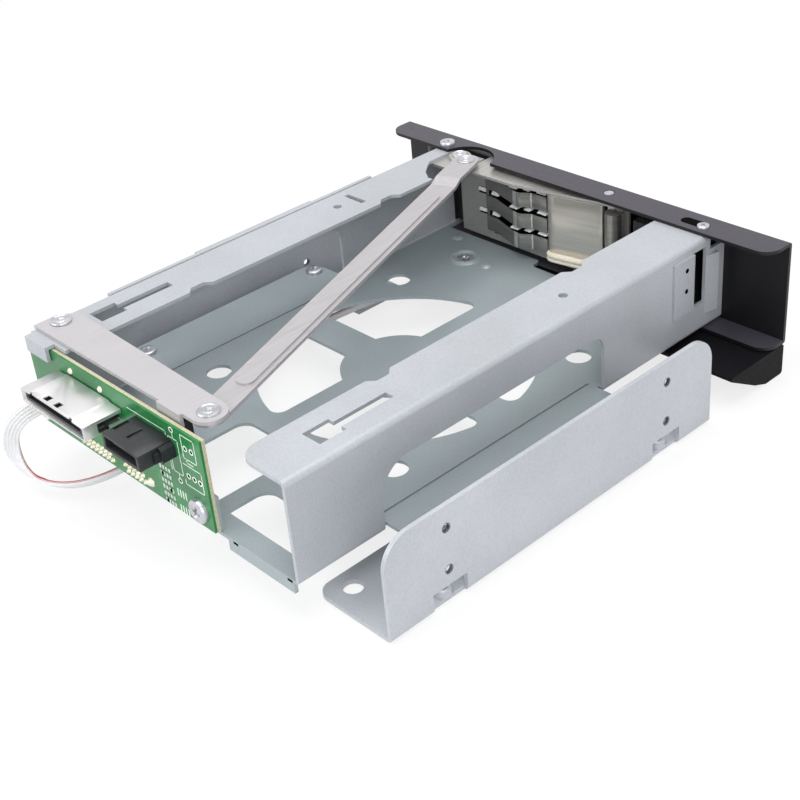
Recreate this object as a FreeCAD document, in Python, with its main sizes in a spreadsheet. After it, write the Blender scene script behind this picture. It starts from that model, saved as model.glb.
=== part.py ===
import FreeCAD, Part
import math
import os

import Sketcher

# Hot swap drive cage: a folded sheet cage for one 3.5 inch drive, carried in a 5.25 inch bay by two
# side brackets, with a hinged front door, a latch bolt and a link that swings the ejector arm.
# Frame: X across the bay, Y back from the bay's front plane, Z up from the bay's mounting plane.

os.makedirs("parts", exist_ok=True)
doc = FreeCAD.newDocument("DriveCage")
sheet = doc.addObject("Spreadsheet::Sheet", "Sizes")

# Driving dimensions in millimetres and degrees, each written once.
sizes = {
    # cage, folded from one sheet
    "cage_wall": 1.0, "cage_half": 52.9, "cage_bottom": 11.0, "cage_top": 40.0, "cage_rear": 154.4,
    "flange_half": 35.5, "bend_radius": 1.6, "floor_front": 3.4, "floor_notch_left": 10.2,
    "floor_notch_right": 24.0, "floor_notch_rear": 7.5,
    "cut_front": 48.0, "cut_rear": 127.6, "cut_height": 17.0, "cut_rear_radius": 9.0,
    "cut_front_radius": 4.5, "wing_half": 66.8, "wing_gap": 0.6, "wing_radius": 6.5,
    "step_half": 47.5, "step_depth": 0.35, "step_width": 0.7, "rail_step": 0.8, "rail_step_low": 30.0,
    "rail_first_front": 33.0, "rail_first_rear": 129.6, "rail_second_front": 56.3,
    "rail_second_rear": 99.4,
    # windows of the cage floor, a ring of four round a middle disc
    "ring_centre": 74.5, "ring_outer": 39.5, "ring_inner": 16.0, "spoke_half": 5.6, "ring_corner": 3.0,
    "pin_hole_offset": 36.5, "pin_hole_spread": 35.0, "pin_hole_radius": 3.7,
    "rear_window_front": 120.0, "rear_window_left": 10.8, "rear_window_right": 13.0, "rear_strip": 6.0,
    "side_window_front": 135.8, "side_window_edge": 18.4, "window_radius": 4.0, "lip_height": 3.0,
    # slots of the top flanges
    "key_front": 115.2, "key_neck": 131.5, "key_rear": 139.4, "key_centre": 44.3,
    "key_neck_width": 2.8, "key_width": 6.4, "notch_depth": 2.0, "notch_length": 8.0,
    "rear_notch": 107.0, "front_notch": 36.7, "flange_hole_place": 54.0, "flange_hole_radius": 1.3,
    "cross_slot_place": 47.0, "cross_slot_width": 1.7, "cross_slot_length": 8.0,
    "relief_rear": 23.0, "relief_half": 46.0, "relief_turn": 14.0, "wall_set_back": -1.0,
    "flange_corner_radius": 6.0,
    # latch window of the right wall
    "window_front": 4.8, "window_rear": 10.6, "window_low": 20.0, "window_high": 37.0,
    "press_rear": 19.4, "press_height": 0.7, "flare_front": 0.2, "flare_height": 1.1, "flare_low": 16.0,
    "flare_high": 34.0, "shoulder_height": 35.5,
    "shoulder_rear": 3.0,
    # side brackets
    "bay_half": 73.0, "bracket_wall": 1.2, "bracket_front": 28.6, "bracket_rear": 145.7,
    "bracket_height": 27.9, "bracket_radius": 8.0, "channel_width": 6.2, "shelf_inner": 50.0,
    "ear_inner": 46.6, "ear_radius": 4.0, "shelf_front": 49.5, "shelf_rear": 120.5,
    "hole_front": 47.4, "hole_pitch": 79.24, "hole_low": 10.03, "hole_high": 21.84,
    "bottom_hole_inset": 3.15, "tapped_radius": 1.3, "boss_radius": 2.3, "boss_height": 3.0,
    "port_half": 5.2, "port_height": 4.4, "ear_hole_radius": 2.6, "ear_hole_inset": 6.7,
    "ear_hole_place": 52.5,
    # screws and rivets
    "screw_radius": 1.25, "screw_head": 2.7, "screw_head_height": 1.2, "screw_reach": 3.4,
    "wing_screw_half": 61.7, "wing_screw_front": 52.6, "wing_screw_rear": 116.5,
    "running_gap": 0.06, "rivet_head": 3.0, "rivet_head_height": 0.6,
    # front bezel and the filler below it
    "bezel_over": 0.7, "bezel_front": -4.5, "bezel_wall": 1.0, "bezel_flange": 5.5,
    "bezel_low_flange": 4.3, "bezel_radius": 5.0, "barrel_gap": 1.0, "opening_right": 51.5,
    "opening_gap": 0.6, "bezel_screw_half": 49.8, "bezel_screw_place": 2.3, "bezel_hole_place": 14.9,
    "bezel_hole_front": 0.3, "bezel_hole_radius": 1.6, "crescent_x": 37.2, "crescent_y": 7.6,
    "crescent_radius": 9.4,
    "filler_gap": 0.5, "filler_inset": 0.3, "filler_depth": 19.8, "filler_lip": 1.5,
    "filler_screw_half": 30.6, "filler_screw_place": 16.1, "filler_boss": 3.0, "flush_head": 0.55,
    # door
    "hinge_x": 57.5, "hinge_y": -1.0, "door_gap": 0.5, "door_wall": 2.4, "barrel_radius": 3.5,
    "collar_radius": 2.2, "end_play": 0.3, "frame_wall": 0.8, "frame_face": 1.6, "frame_left": 33.0,
    "frame_right": 24.0, "frame_end": 44.5, "flange_left": 34.5, "flange_right": 19.0,
    "flange_rear": 10.4, "flange_bend": 16.0, "flange_bend_rear": 9.8, "flange_rear_right": 2.6,
    "frame_rise": 0.45, "frame_bottom": 13.0, "hinge_pin": 1.5,
    # crank on its plate under the left flange
    "crank_x": 35.7, "crank_y": 8.3, "pivot_x": 41.9, "pivot_y": 4.8, "crank_radius": 3.4,
    "crank_wall": 1.0, "plate_left": 47.6, "plate_right": 35.0, "plate_front": 0.8,
    "plate_rear": 13.0, "plate_wall": 0.8, "lift": 0.05,
    "finger_left": 33.0, "finger_right": 4.5, "finger_kink": 13.0, "finger_rise": 4.4,
    "finger_height": 5.4, "finger_pitch": 7.0, "finger_low": 16.0, "finger_wall": 0.5,
    "bow_left": 3.6, "bow_right": 17.0, "bow_rise": 6.2, "bow_low": 19.0, "bow_high": 36.6,
    "pad_height": 2.6, "sleeve_x": 20.6, "sleeve_radius": 2.6,
    # latch
    "latch_left": 27.0, "latch_tip": 49.6, "latch_end": 48.1, "latch_low": 17.0, "latch_high": 37.0, "latch_depth": 6.0,
    "tongue_front": 5.6, "tongue_rear": 9.8, "tongue_low": 21.5, "tongue_high": 35.6,
    "thumb_left": 34.0, "thumb_right": 43.0, "thumb_low": 22.0, "thumb_high": 30.0,
    "thumb_rise": 0.9, "thumb_travel": 3.6, "thumb_gap": 0.4,
    # link bar and ejector arm
    "link_wall": 1.0, "link_half": 4.0, "link_gap": 0.1, "rib_half": 2.4, "rib_rise": 0.5,
    "rib_shift": -0.2, "rib_rear": 14.0, "rib_front": 24.0, "open_hole": 2.4, "step_start": 13.0,
    "step_run": 4.0,
    "arm_pivot_x": 48.3, "arm_pivot_y": 147.4, "arm_end_x": 18.1, "arm_end_y": 148.4,
    "arm_wall": 1.0, "arm_half": 4.7, "arm_root_half": 5.9, "arm_left": 52.3, "arm_lift": 0.05,
    "lug_left": 4.6, "lug_right": 14.0, "lug_low": 37.4, "lug_rear": 154.0,
    "pad_low": 29.4, "pad_depth": 2.2,
    # backplane board and what is on it
    "board_wall": 1.6, "board_left": 52.5, "board_right": 23.8, "board_low": 12.4, "board_high": 38.7,
    "tab_left": 13.5, "tab_height": 10.0, "board_screw_x": 18.8, "board_screw_z": 17.0,
    "hook_inner": 41.0, "hook_outer": 51.0, "hook_drop": 3.4,
    "power_left": 41.6, "power_right": 9.2, "power_low": 30.2, "power_high": 34.8,
    "power_depth": 11.4, "shell_wall": 0.5, "tongue_wall": 1.2,
    "data_left": 5.4, "data_right": 11.8, "data_low": 29.8, "data_high": 34.8, "data_depth": 9.6,
    "drive_plug_centre": 17.4, "drive_plug_half": 20.9, "drive_plug_low": 14.2,
    "drive_plug_high": 20.4, "drive_plug_depth": 8.2, "tongue_depth": 5.6,
    "pin_half": 0.4, "pin_pitch": 2.54, "pin_reach": 1.1, "pin_low": 15.4, "pin_left": 34.0,
    # cable, its two plugs and the indicator board at the front
    "cable_radius": 2.2, "plug_left": 47.4, "plug_right": 40.6, "plug_low": 20.1, "plug_high": 25.9,
    "plug_depth": 5.0, "lamp_board_left": 46.0, "lamp_board_right": 22.0, "lamp_board_front": -0.6,
    "lamp_board_wall": 1.2, "front_plug_depth": 4.2, "front_plug_left": 39.6,
    "front_plug_right": 32.4, "front_plug_low": 2.4, "front_plug_high": 7.2,
    "lamp_radius": 1.5, "lamp_first": 28.0, "lamp_pitch": 7.0, "lamp_proud": 0.3, "lamp_height": 4.8,
}
for row, (word, number) in enumerate(sizes.items(), start=1):
    sheet.set("A%d" % row, word)
    sheet.set("B%d" % row, str(number))
    sheet.setAlias("B%d" % row, word)
doc.recompute()


# A length that carries its expression in words of the sheet beside its number.
class Length:
    def __init__(self, text, number):
        self.text = text
        self.number = number

    def __add__(self, other):
        other = length(other)
        return Length("(%s + %s)" % (self.text, other.text), self.number + other.number)

    def __sub__(self, other):
        other = length(other)
        return Length("(%s - %s)" % (self.text, other.text), self.number - other.number)

    def __mul__(self, other):
        other = length(other)
        return Length("(%s * %s)" % (self.text, other.text), self.number * other.number)

    def __truediv__(self, other):
        other = length(other)
        return Length("(%s / %s)" % (self.text, other.text), self.number / other.number)

    def __neg__(self):
        return Length("(-1 * %s)" % self.text, -self.number)

    def __radd__(self, other):
        return length(other) + self

    def __rsub__(self, other):
        return length(other) - self

    def __rmul__(self, other):
        return length(other) * self


def length(value):
    if isinstance(value, Length):
        return value
    return Length("(%r)" % value, float(value))


class Words:
    def __getattr__(self, word):
        return Length("Sizes." + word, float(sheet.get(word)))


s = Words()
vector = FreeCAD.Vector
plane_roles = {"X": "YZ_Plane", "Y": "XZ_Plane", "Z": "XY_Plane"}
parts = []
cuts = []


def node(thing, label):
    thing.Label = label
    parts.append(thing)
    return thing


def new_body(name):
    return doc.addObject("PartDesign::Body", name)


def bind(thing, prop, value):
    thing.setExpression(prop, length(value).text)


# Outlines of a sketch, each a function that draws itself: corners in order, or a circle.
def polygon(corners):
    def draw(sketch):
        first = sketch.GeometryCount
        corner_count = len(corners)
        points = [vector(length(u).number, length(v).number, 0) for u, v in corners]
        for k in range(corner_count):
            sketch.addGeometry(Part.LineSegment(points[k], points[(k + 1) % corner_count]))
        for k in range(corner_count):
            following = first + (k + 1) % corner_count
            sketch.addConstraint(Sketcher.Constraint("Coincident", first + k, 2, following, 1))
        for k in range(corner_count):
            for kind, value in zip(("DistanceX", "DistanceY"), corners[k]):
                number = length(value).number
                at = sketch.addConstraint(Sketcher.Constraint(kind, -1, 1, first + k, 1, number))
                bind(sketch, "Constraints[%d]" % at, value)
    return draw


def rectangle(u0, u1, v0, v1):
    return polygon([(u0, v0), (u1, v0), (u1, v1), (u0, v1)])


def circle(u, v, radius):
    def draw(sketch):
        place = vector(length(u).number, length(v).number, 0)
        at = sketch.addGeometry(Part.Circle(place, vector(0, 0, 1), length(radius).number))
        for kind, value in (("DistanceX", u), ("DistanceY", v)):
            number = length(value).number
            index = sketch.addConstraint(Sketcher.Constraint(kind, -1, 1, at, 3, number))
            bind(sketch, "Constraints[%d]" % index, value)
        index = sketch.addConstraint(Sketcher.Constraint("Radius", at, length(radius).number))
        bind(sketch, "Constraints[%d]" % index, radius)
    return draw


# A pad or a pocket between two planes across an axis. The sketch's own axes are X and Y for the
# Z axis, X and Z for the Y axis, and Y and Z for the X axis.
def extrude(body, kind, axis, low, high, outlines):
    sketch = body.newObject("Sketcher::SketchObject", "Sketch")
    role = plane_roles[axis]
    plane = [item for item in body.Origin.OriginFeatures if item.Role == role][0]
    sketch.AttachmentSupport = [(plane, "")]
    sketch.MapMode = "FlatFace"
    offset = -length(low) if axis == "Y" else length(low)
    bind(sketch, "AttachmentOffset.Base.z", offset)
    for outline in outlines:
        outline(sketch)
    feature = body.newObject("PartDesign::" + kind, kind)
    feature.Profile = sketch
    bind(feature, "Length", length(high) - length(low))
    along_axis = axis != "Y"
    feature.Reversed = (not along_axis) if kind == "Pad" else along_axis
    if kind == "Pocket":
        cuts.append(feature)
    return feature


def pad(body, axis, low, high, *outlines):
    return extrude(body, "Pad", axis, low, high, outlines)


def pocket(body, axis, low, high, *outlines):
    return extrude(body, "Pocket", axis, low, high, outlines)


# Rounds the edges that run along an axis through the given points of the plane across it.
def round_edges(body, axis, radius, points):
    doc.recompute()
    base = body.Tip
    run = {"X": 0, "Y": 1, "Z": 2}[axis]
    across = [k for k in range(3) if k != run]
    names = []
    for index, edge in enumerate(base.Shape.Edges, start=1):
        first, last = edge.firstVertex().Point, edge.lastVertex().Point
        if abs(first[run] - last[run]) < 0.2 or edge.Curve.TypeId != "Part::GeomLine":
            continue
        for u, v in points:
            near_first = math.hypot(first[across[0]] - length(u).number, first[across[1]] - length(v).number)
            near_last = math.hypot(last[across[0]] - length(u).number, last[across[1]] - length(v).number)
            if near_first < 0.02 and near_last < 0.02:
                names.append("Edge%d" % index)
    fillet = body.newObject("PartDesign::Fillet", "Fillet")
    fillet.Base = (base, names)
    bind(fillet, "Radius", radius)
    return fillet


def box(name, x0, x1, y0, y1, z0, z1):
    made = doc.addObject("Part::Box", name)
    bind(made, "Length", length(x1) - length(x0))
    bind(made, "Width", length(y1) - length(y0))
    bind(made, "Height", length(z1) - length(z0))
    bind(made, "Placement.Base.x", x0)
    bind(made, "Placement.Base.y", y0)
    bind(made, "Placement.Base.z", z0)
    return made


# A cylinder from low to high along an axis, through u and v of the plane across it.
def cylinder(name, axis, u, v, low, high, radius):
    made = doc.addObject("Part::Cylinder", name)
    bind(made, "Radius", radius)
    bind(made, "Height", length(high) - length(low))
    places = {"X": (low, u, v), "Y": (u, low, v), "Z": (u, v, low)}[axis]
    turns = {"X": (vector(0, 1, 0), 90), "Y": (vector(1, 0, 0), -90), "Z": (vector(0, 0, 1), 0)}
    made.Placement = FreeCAD.Placement(vector(0, 0, 0), FreeCAD.Rotation(*turns[axis]))
    for prop, value in zip(("x", "y", "z"), places):
        bind(made, "Placement.Base." + prop, value)
    return made


# A prism with a round outline of a few sides, upright, from low to high.
def prism(name, x, y, low, high, radius, sides):
    made = doc.addObject("Part::Prism", name)
    made.Polygon = sides
    bind(made, "Circumradius", radius)
    bind(made, "Height", length(high) - length(low))
    for prop, value in zip(("x", "y", "z"), (x, y, low)):
        bind(made, "Placement.Base." + prop, value)
    return made


def combine(kind, name, things):
    made = doc.addObject("Part::" + kind, name)
    if kind in ("MultiFuse", "MultiCommon"):
        made.Shapes = things
    else:
        made.Base, made.Tool = things
    return made


def fuse(name, *things):
    return combine("MultiFuse", name, list(things))


def cut(name, base, tool):
    return combine("Cut", name, [base, tool])


# Lengths that several pieces share.
floor_top = s.cage_bottom + s.cage_wall
wall_inner = s.cage_half - s.cage_wall
flange_low = s.cage_top - s.cage_wall
bezel_back = s.bezel_front + s.bezel_wall
bezel_top = s.cage_top + s.bezel_wall
bezel_low = s.cage_bottom - s.bezel_wall
wing_front = s.cut_front + s.wing_gap
wing_rear = s.cut_rear - s.wing_gap * 3
board_rear = s.cage_rear + s.board_wall
board_edge_z = s.board_low
filler_top = bezel_low - s.filler_gap
door_low = floor_top + s.door_gap + 0.2
door_high = flange_low - s.door_gap
panel_back = s.bezel_front + s.door_wall
frame_top = door_high + s.frame_rise
flange_under = frame_top - s.frame_wall
arm_low = s.cage_top + s.arm_lift
arm_top = arm_low + s.arm_wall
link_top = arm_low - s.link_gap
link_low = link_top - s.link_wall
plate_low = flange_low - s.plate_wall
crank_low = flange_low + s.lift
crank_top = crank_low + s.crank_wall
link_front_low = crank_top + s.lift
link_front_top = link_front_low + s.link_wall
bottom_hole_half = s.bay_half - s.bottom_hole_inset
bezel_half = s.bay_half + s.bezel_over
filler_half = bezel_half - s.filler_inset
hole_rear = s.hole_front + s.hole_pitch
front_ear_rear = s.shelf_front - 1
rear_ear_front = s.shelf_rear + 1
channel_inner = s.bay_half - s.channel_width


# Folded cage: a channel with inward top flanges, then its cut-outs, wings, tabs and windows.
def make_cage():
    body = new_body("CageBody")
    profile = [
        (-s.flange_half, flange_low), (-s.flange_half, s.cage_top), (-s.cage_half, s.cage_top),
        (-s.cage_half, s.cage_bottom), (s.cage_half, s.cage_bottom), (s.cage_half, s.cage_top),
        (s.flange_half, s.cage_top), (s.flange_half, flange_low), (wall_inner, flange_low),
        (wall_inner, floor_top), (-wall_inner, floor_top), (-wall_inner, flange_low)]
    pad(body, "Y", bezel_back, s.cage_rear, polygon(profile))
    round_edges(body, "Y", s.bend_radius, [
        (side * s.cage_half, z) for side in (-1, 1) for z in (s.cage_top, s.cage_bottom)])
    round_edges(body, "Y", s.bend_radius - s.cage_wall, [
        (side * wall_inner, z) for side in (-1, 1) for z in (flange_low, floor_top)])
    cut_top = floor_top + s.cut_height
    for side in (-1, 1):
        low, high = sorted((side * (s.cage_half + 1), side * (wall_inner - 1)), key=lambda k: k.number)
        pocket(body, "X", low, high, rectangle(s.cut_front, s.cut_rear, s.cage_bottom - 1, cut_top))
    round_edges(body, "X", s.cut_rear_radius, [(s.cut_rear, cut_top)])
    round_edges(body, "X", s.cut_front_radius, [(s.cut_front, cut_top)])
    for side in (-1, 1):
        pad(body, "Z", s.cage_bottom, floor_top,
            rectangle(side * (wall_inner - 2), side * s.wing_half, wing_front, wing_rear))
    round_edges(body, "Z", s.wing_radius, [
        (side * s.wing_half, y) for side in (-1, 1) for y in (wing_front, wing_rear)])
    top = s.cage_top + 1
    for side in (-1, 1):
        neck = s.key_neck_width / 2
        wide = s.key_width / 2
        corners = [(s.key_centre - neck, s.key_front), (s.key_centre + neck, s.key_front),
                   (s.key_centre + neck, s.key_neck), (s.key_centre + wide, s.key_neck),
                   (s.key_centre + wide, s.key_rear), (s.key_centre - wide, s.key_rear),
                   (s.key_centre - wide, s.key_neck), (s.key_centre - neck, s.key_neck)]
        pocket(body, "Z", flange_low - 1, top, polygon([(side * x, y) for x, y in corners]))
        for start in (s.rear_notch, s.front_notch):
            deep = s.flange_half + s.notch_depth
            ramp = s.notch_depth
            corners = [(s.flange_half - 1, start), (deep - s.notch_depth, start), (deep, start + ramp),
                       (deep, start + s.notch_length - ramp),
                       (deep - s.notch_depth, start + s.notch_length),
                       (s.flange_half - 1, start + s.notch_length)]
            pocket(body, "Z", flange_low - 1, top, polygon([(side * x, y) for x, y in corners]))
    slot_inner = s.key_centre - s.cross_slot_length / 2
    pocket(body, "Z", flange_low - 1, top,
           rectangle(slot_inner, slot_inner + s.cross_slot_length, s.cross_slot_place - s.cross_slot_width / 2,
                     s.cross_slot_place + s.cross_slot_width / 2))
    # The left flange gives way to the crank, and the left wall's end to the door's hinge.
    pocket(body, "Z", flange_low - 1, top, polygon([
        (s.flange_half - 1, bezel_back - 1), (s.relief_half, bezel_back - 1), (s.relief_half, s.relief_turn),
        (s.relief_half - 1.6, s.relief_turn + 2.5), (s.relief_half - 4.8, s.relief_rear - 2.5),
        (s.flange_half + 2, s.relief_rear), (s.flange_half - 1, s.relief_rear)]))
    pocket(body, "X", wall_inner - 1, s.cage_half + 1,
           rectangle(bezel_back - 1, s.wall_set_back, floor_top, flange_low))
    round_edges(body, "Z", s.flange_corner_radius,
                [(-s.flange_half, s.cage_rear), (-s.flange_half, bezel_back)])
    # Floor: front edge, rear windows, screw holes, pin holes and the shallow step beside each wing.
    pocket(body, "Z", s.cage_bottom - 1, floor_top + 1,
           rectangle(-(wall_inner - 1), wall_inner - 1, bezel_back - 1, s.floor_front))
    pocket(body, "Z", s.cage_bottom - 1, floor_top + 1,
           rectangle(-s.floor_notch_right, s.floor_notch_left, s.floor_front - 1, s.floor_notch_rear))
    round_edges(body, "Z", 1.5, [
        (s.floor_notch_left, s.floor_front), (s.floor_notch_left, s.floor_notch_rear)])
    rear_edge = s.cage_rear - s.rear_strip
    pocket(body, "Z", s.cage_bottom - 1, floor_top + 1,
           rectangle(-s.rear_window_right, s.rear_window_left, s.rear_window_front, rear_edge))
    for side in (-1, 1):
        pocket(body, "Z", s.cage_bottom - 1, floor_top + 1,
               rectangle(side * s.side_window_edge, side * (wall_inner - 1), s.side_window_front, rear_edge))
    round_edges(body, "Z", s.window_radius, [
        (-s.rear_window_right, s.rear_window_front), (s.rear_window_left, s.rear_window_front),
        (-s.side_window_edge, s.side_window_front), (s.side_window_edge, s.side_window_front)])
    holes = []
    for side in (-1, 1):
        for back in (-1, 1):
            holes.append(circle(side * s.pin_hole_offset, s.ring_centre + back * s.pin_hole_spread,
                                s.pin_hole_radius))
    pocket(body, "Z", s.cage_bottom - 1, floor_top + 1, *holes)
    for side in (-1, 1):
        pocket(body, "Z", floor_top - s.step_depth, floor_top + 1,
               rectangle(side * s.step_half, side * (s.step_half + s.step_width), wing_front, wing_rear))
    # Top hole for the ejector's pivot rivet.
    pocket(body, "Z", flange_low - 1, top,
           circle(s.arm_pivot_x, s.arm_pivot_y, s.hinge_pin + s.running_gap))
    # Right wall: latch window, the pressed pad behind it, the flared tab before it and the low shoulder.
    pocket(body, "X", -(s.cage_half + 1), -(wall_inner - 1),
           rectangle(s.window_front, s.window_rear, s.window_low, s.window_high))
    pad(body, "X", -(s.cage_half + s.press_height), -s.cage_half,
        rectangle(s.window_rear, s.press_rear, s.window_low, s.window_high))
    pad(body, "Z", s.flare_low, s.flare_high, polygon([
        (-s.cage_half, s.window_front), (-(s.cage_half + s.flare_height), s.flare_front),
        (-s.cage_half, s.flare_front)]))
    # Left wall: two shallow steps outward.
    pad(body, "X", s.cage_half - 0.5, s.cage_half + s.rail_step,
        rectangle(s.rail_first_front, s.rail_first_rear, s.rail_step_low, s.cage_top))
    pad(body, "X", s.cage_half + s.rail_step - 0.2, s.cage_half + s.rail_step * 2,
        rectangle(s.rail_second_front, s.rail_second_rear, s.rail_step_low, s.cage_top))
    pocket(body, "X", -(s.cage_half + 1), -(wall_inner - 1),
           rectangle(bezel_back - 1, s.shoulder_rear, s.shoulder_height, s.cage_top + 1))
    # Rear: bent-down lip, tab for the board's screw and the hook that holds the board's corner.
    pad(body, "Y", s.cage_rear - s.cage_wall, s.cage_rear,
        rectangle(-(wall_inner - 1), -(s.side_window_edge + 8), s.cage_bottom - s.lip_height, s.cage_bottom + 0.5),
        )
    pad(body, "Y", s.cage_rear - s.cage_wall, s.cage_rear,
        rectangle(-s.board_right, -s.tab_left, s.cage_bottom + 0.5, floor_top + s.tab_height))
    pocket(body, "Y", s.cage_rear - s.cage_wall - 1, s.cage_rear + 1,
           circle(-s.board_screw_x, s.board_screw_z, s.screw_radius + s.running_gap))
    hook_rear = board_rear + 0.2 + s.cage_wall
    pad(body, "X", s.hook_inner, s.hook_outer, polygon([
        (s.cage_rear - 1, flange_low), (s.cage_rear - 1, s.cage_top), (hook_rear, s.cage_top),
        (hook_rear, flange_low - s.hook_drop), (hook_rear - s.cage_wall, flange_low - s.hook_drop),
        (hook_rear - s.cage_wall, flange_low)]))
    # Ring of four windows: a ring less its two spokes, with rounded outer corners.
    low = s.cage_bottom - 1
    high = floor_top + 1
    ring = cut("Ring", cylinder("RingOuter", "Z", 0, s.ring_centre, low, high, s.ring_outer),
               cylinder("RingInner", "Z", 0, s.ring_centre, low, high, s.ring_inner))
    spokes = fuse("Spokes",
                  box("SpokeAlong", -s.spoke_half, s.spoke_half, s.ring_centre - s.ring_outer - 1,
                      s.ring_centre + s.ring_outer + 1, low, high),
                  box("SpokeAcross", -s.ring_outer - 1, s.ring_outer + 1, s.ring_centre - s.spoke_half,
                      s.ring_centre + s.spoke_half, low, high))
    windows = cut("Windows", ring, spokes)
    doc.recompute()
    upright = []
    for index, edge in enumerate(windows.Shape.Edges, start=1):
        first, last = edge.firstVertex().Point, edge.lastVertex().Point
        away = math.hypot(first.x, first.y - s.ring_centre.number)
        if abs(first.z - last.z) > 0.5 and away > s.ring_outer.number - 0.5:
            upright.append((index, s.ring_corner.number, s.ring_corner.number))
    rounded = doc.addObject("Part::Fillet", "WindowsRounded")
    rounded.Base = windows
    rounded.Edges = upright
    # Screw holes with twelve sides, all under heads.
    hole = s.screw_radius + s.running_gap
    drills = []
    for a, side in enumerate((-1, 1)):
        drills.append(prism("FlangeHole%d" % a, side * s.key_centre, s.flange_hole_place, flange_low - 1,
                            top, s.flange_hole_radius, 12))
        drills.append(prism("BezelHole%d" % a, side * s.bezel_screw_half, s.bezel_screw_place,
                            flange_low - 1, top, hole, 12))
        drills.append(prism("FillerHole%d" % a, side * s.filler_screw_half, s.filler_screw_place, low, high,
                            hole, 12))
        drills.append(prism("FillerSeat%d" % a, side * s.filler_screw_half, s.filler_screw_place,
                            floor_top - s.flush_head, high, s.screw_head + s.running_gap, 12))
        for b, y in enumerate((s.wing_screw_front, s.wing_screw_rear)):
            drills.append(prism("WingHole%d%d" % (a, b), side * s.wing_screw_half, y, low, high, hole, 12))
    shell = cut("CageShell", body, fuse("CageCuts", rounded, *drills))
    # One sheet in three pieces that meet face to face above the floor: the floor and the two rails.
    spaces = []
    for side, label in ((1, "cage_rail_left"), (-1, "cage_rail_right")):
        near, far = sorted((side * (s.flange_half - 3), side * (s.bay_half + 3)), key=lambda k: k.number)
        space = box("RailSpace%d" % len(spaces), near, far, bezel_back - 5, s.cage_rear + 9, floor_top,
                    s.cage_top + 9)
        spaces.append(space)
        node(combine("MultiCommon", label + "_cut", [shell, space]), label)
    node(cut("CageFloor", shell, fuse("RailSpaces", *spaces)), "cage_floor")


# Side bracket: an outer plate folded in at the foot, with two ears and a raised shelf between them.
def make_bracket(side, label):
    body = new_body(label + "_body")
    low, high = sorted((side * (s.bay_half - s.bracket_wall), side * s.bay_half), key=lambda k: k.number)
    pad(body, "X", low, high, rectangle(s.bracket_front, s.bracket_rear, 0, s.bracket_height))
    round_edges(body, "X", s.bracket_radius,
                [(s.bracket_front, s.bracket_height), (s.bracket_rear, s.bracket_height)])
    pad(body, "Z", 0, s.bracket_wall,
        rectangle(side * (s.bay_half - 0.4), side * channel_inner, s.bracket_front, s.bracket_rear))
    for front, rear in ((s.bracket_front, front_ear_rear), (rear_ear_front, s.bracket_rear)):
        pad(body, "Z", 0, s.bracket_wall,
            rectangle(side * (s.bay_half - 2), side * s.ear_inner, front, rear))
    round_edges(body, "Z", s.ear_radius,
                [(side * s.ear_inner, s.bracket_front), (side * s.ear_inner, s.bracket_rear)])
    web = [(side * channel_inner, 0), (side * (channel_inner + s.bracket_wall), 0),
           (side * (channel_inner + s.bracket_wall), s.cage_bottom), (side * s.shelf_inner, s.cage_bottom),
           (side * s.shelf_inner, s.cage_bottom - s.bracket_wall),
           (side * channel_inner, s.cage_bottom - s.bracket_wall)]
    pad(body, "Y", s.shelf_front, s.shelf_rear, polygon(web))
    round_edges(body, "Y", s.bracket_wall * 1.2, [(side * (channel_inner + s.bracket_wall), s.cage_bottom)])
    round_edges(body, "Y", s.bracket_wall * 1.2, [(side * s.bay_half, 0)])
    for y in (s.hole_front, hole_rear):
        pocket(body, "X", *sorted((side * (s.bay_half - s.bracket_wall), side * (s.bay_half + 1)),
                                  key=lambda k: k.number),
               rectangle(y - s.port_half, y + s.port_half, -1, s.port_height))
    pocket(body, "X", *sorted((side * (s.bay_half - s.bracket_wall - 1), side * (s.bay_half + 1)),
                              key=lambda k: k.number),
           *[circle(y, z, s.tapped_radius) for y in (s.hole_front, hole_rear)
             for z in (s.hole_low, s.hole_high)])
    pocket(body, "Z", -1, s.bracket_wall + 1,
           circle(side * s.ear_hole_place, s.bracket_front + s.ear_hole_inset, s.ear_hole_radius),
           circle(side * s.ear_hole_place, s.bracket_rear - s.ear_hole_inset, s.ear_hole_radius))
    bosses = []
    drills = []
    for k, y in enumerate((s.hole_front, hole_rear)):
        bosses.append(prism(label + "_boss%d" % k, side * bottom_hole_half, y, 0,
                            s.bracket_wall + s.boss_height, s.boss_radius, 16))
        drills.append(cylinder(label + "_tap%d" % k, "Z", side * bottom_hole_half, y, -1,
                               s.bracket_wall + s.boss_height + 1, s.tapped_radius))
    for k, y in enumerate((s.wing_screw_front, s.wing_screw_rear)):
        drills.append(prism(label + "_hole%d" % k, side * s.wing_screw_half, y,
                            s.cage_bottom - s.bracket_wall - 1, s.cage_bottom + 1,
                            s.screw_radius + s.running_gap, 12))
    plate = fuse(label + "_plate", body, *bosses)
    node(cut(label + "_drilled", plate, fuse(label + "_drills", *drills)), label)


# A pan-head screw down from a seat, as a head and a shank.
def screw(name, x, y, seat, reach):
    return fuse(name, prism(name + "Head", x, y, seat, seat + s.screw_head_height, s.screw_head, 16),
                prism(name + "Shank", x, y, seat - reach, seat, s.screw_radius, 8))


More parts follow.
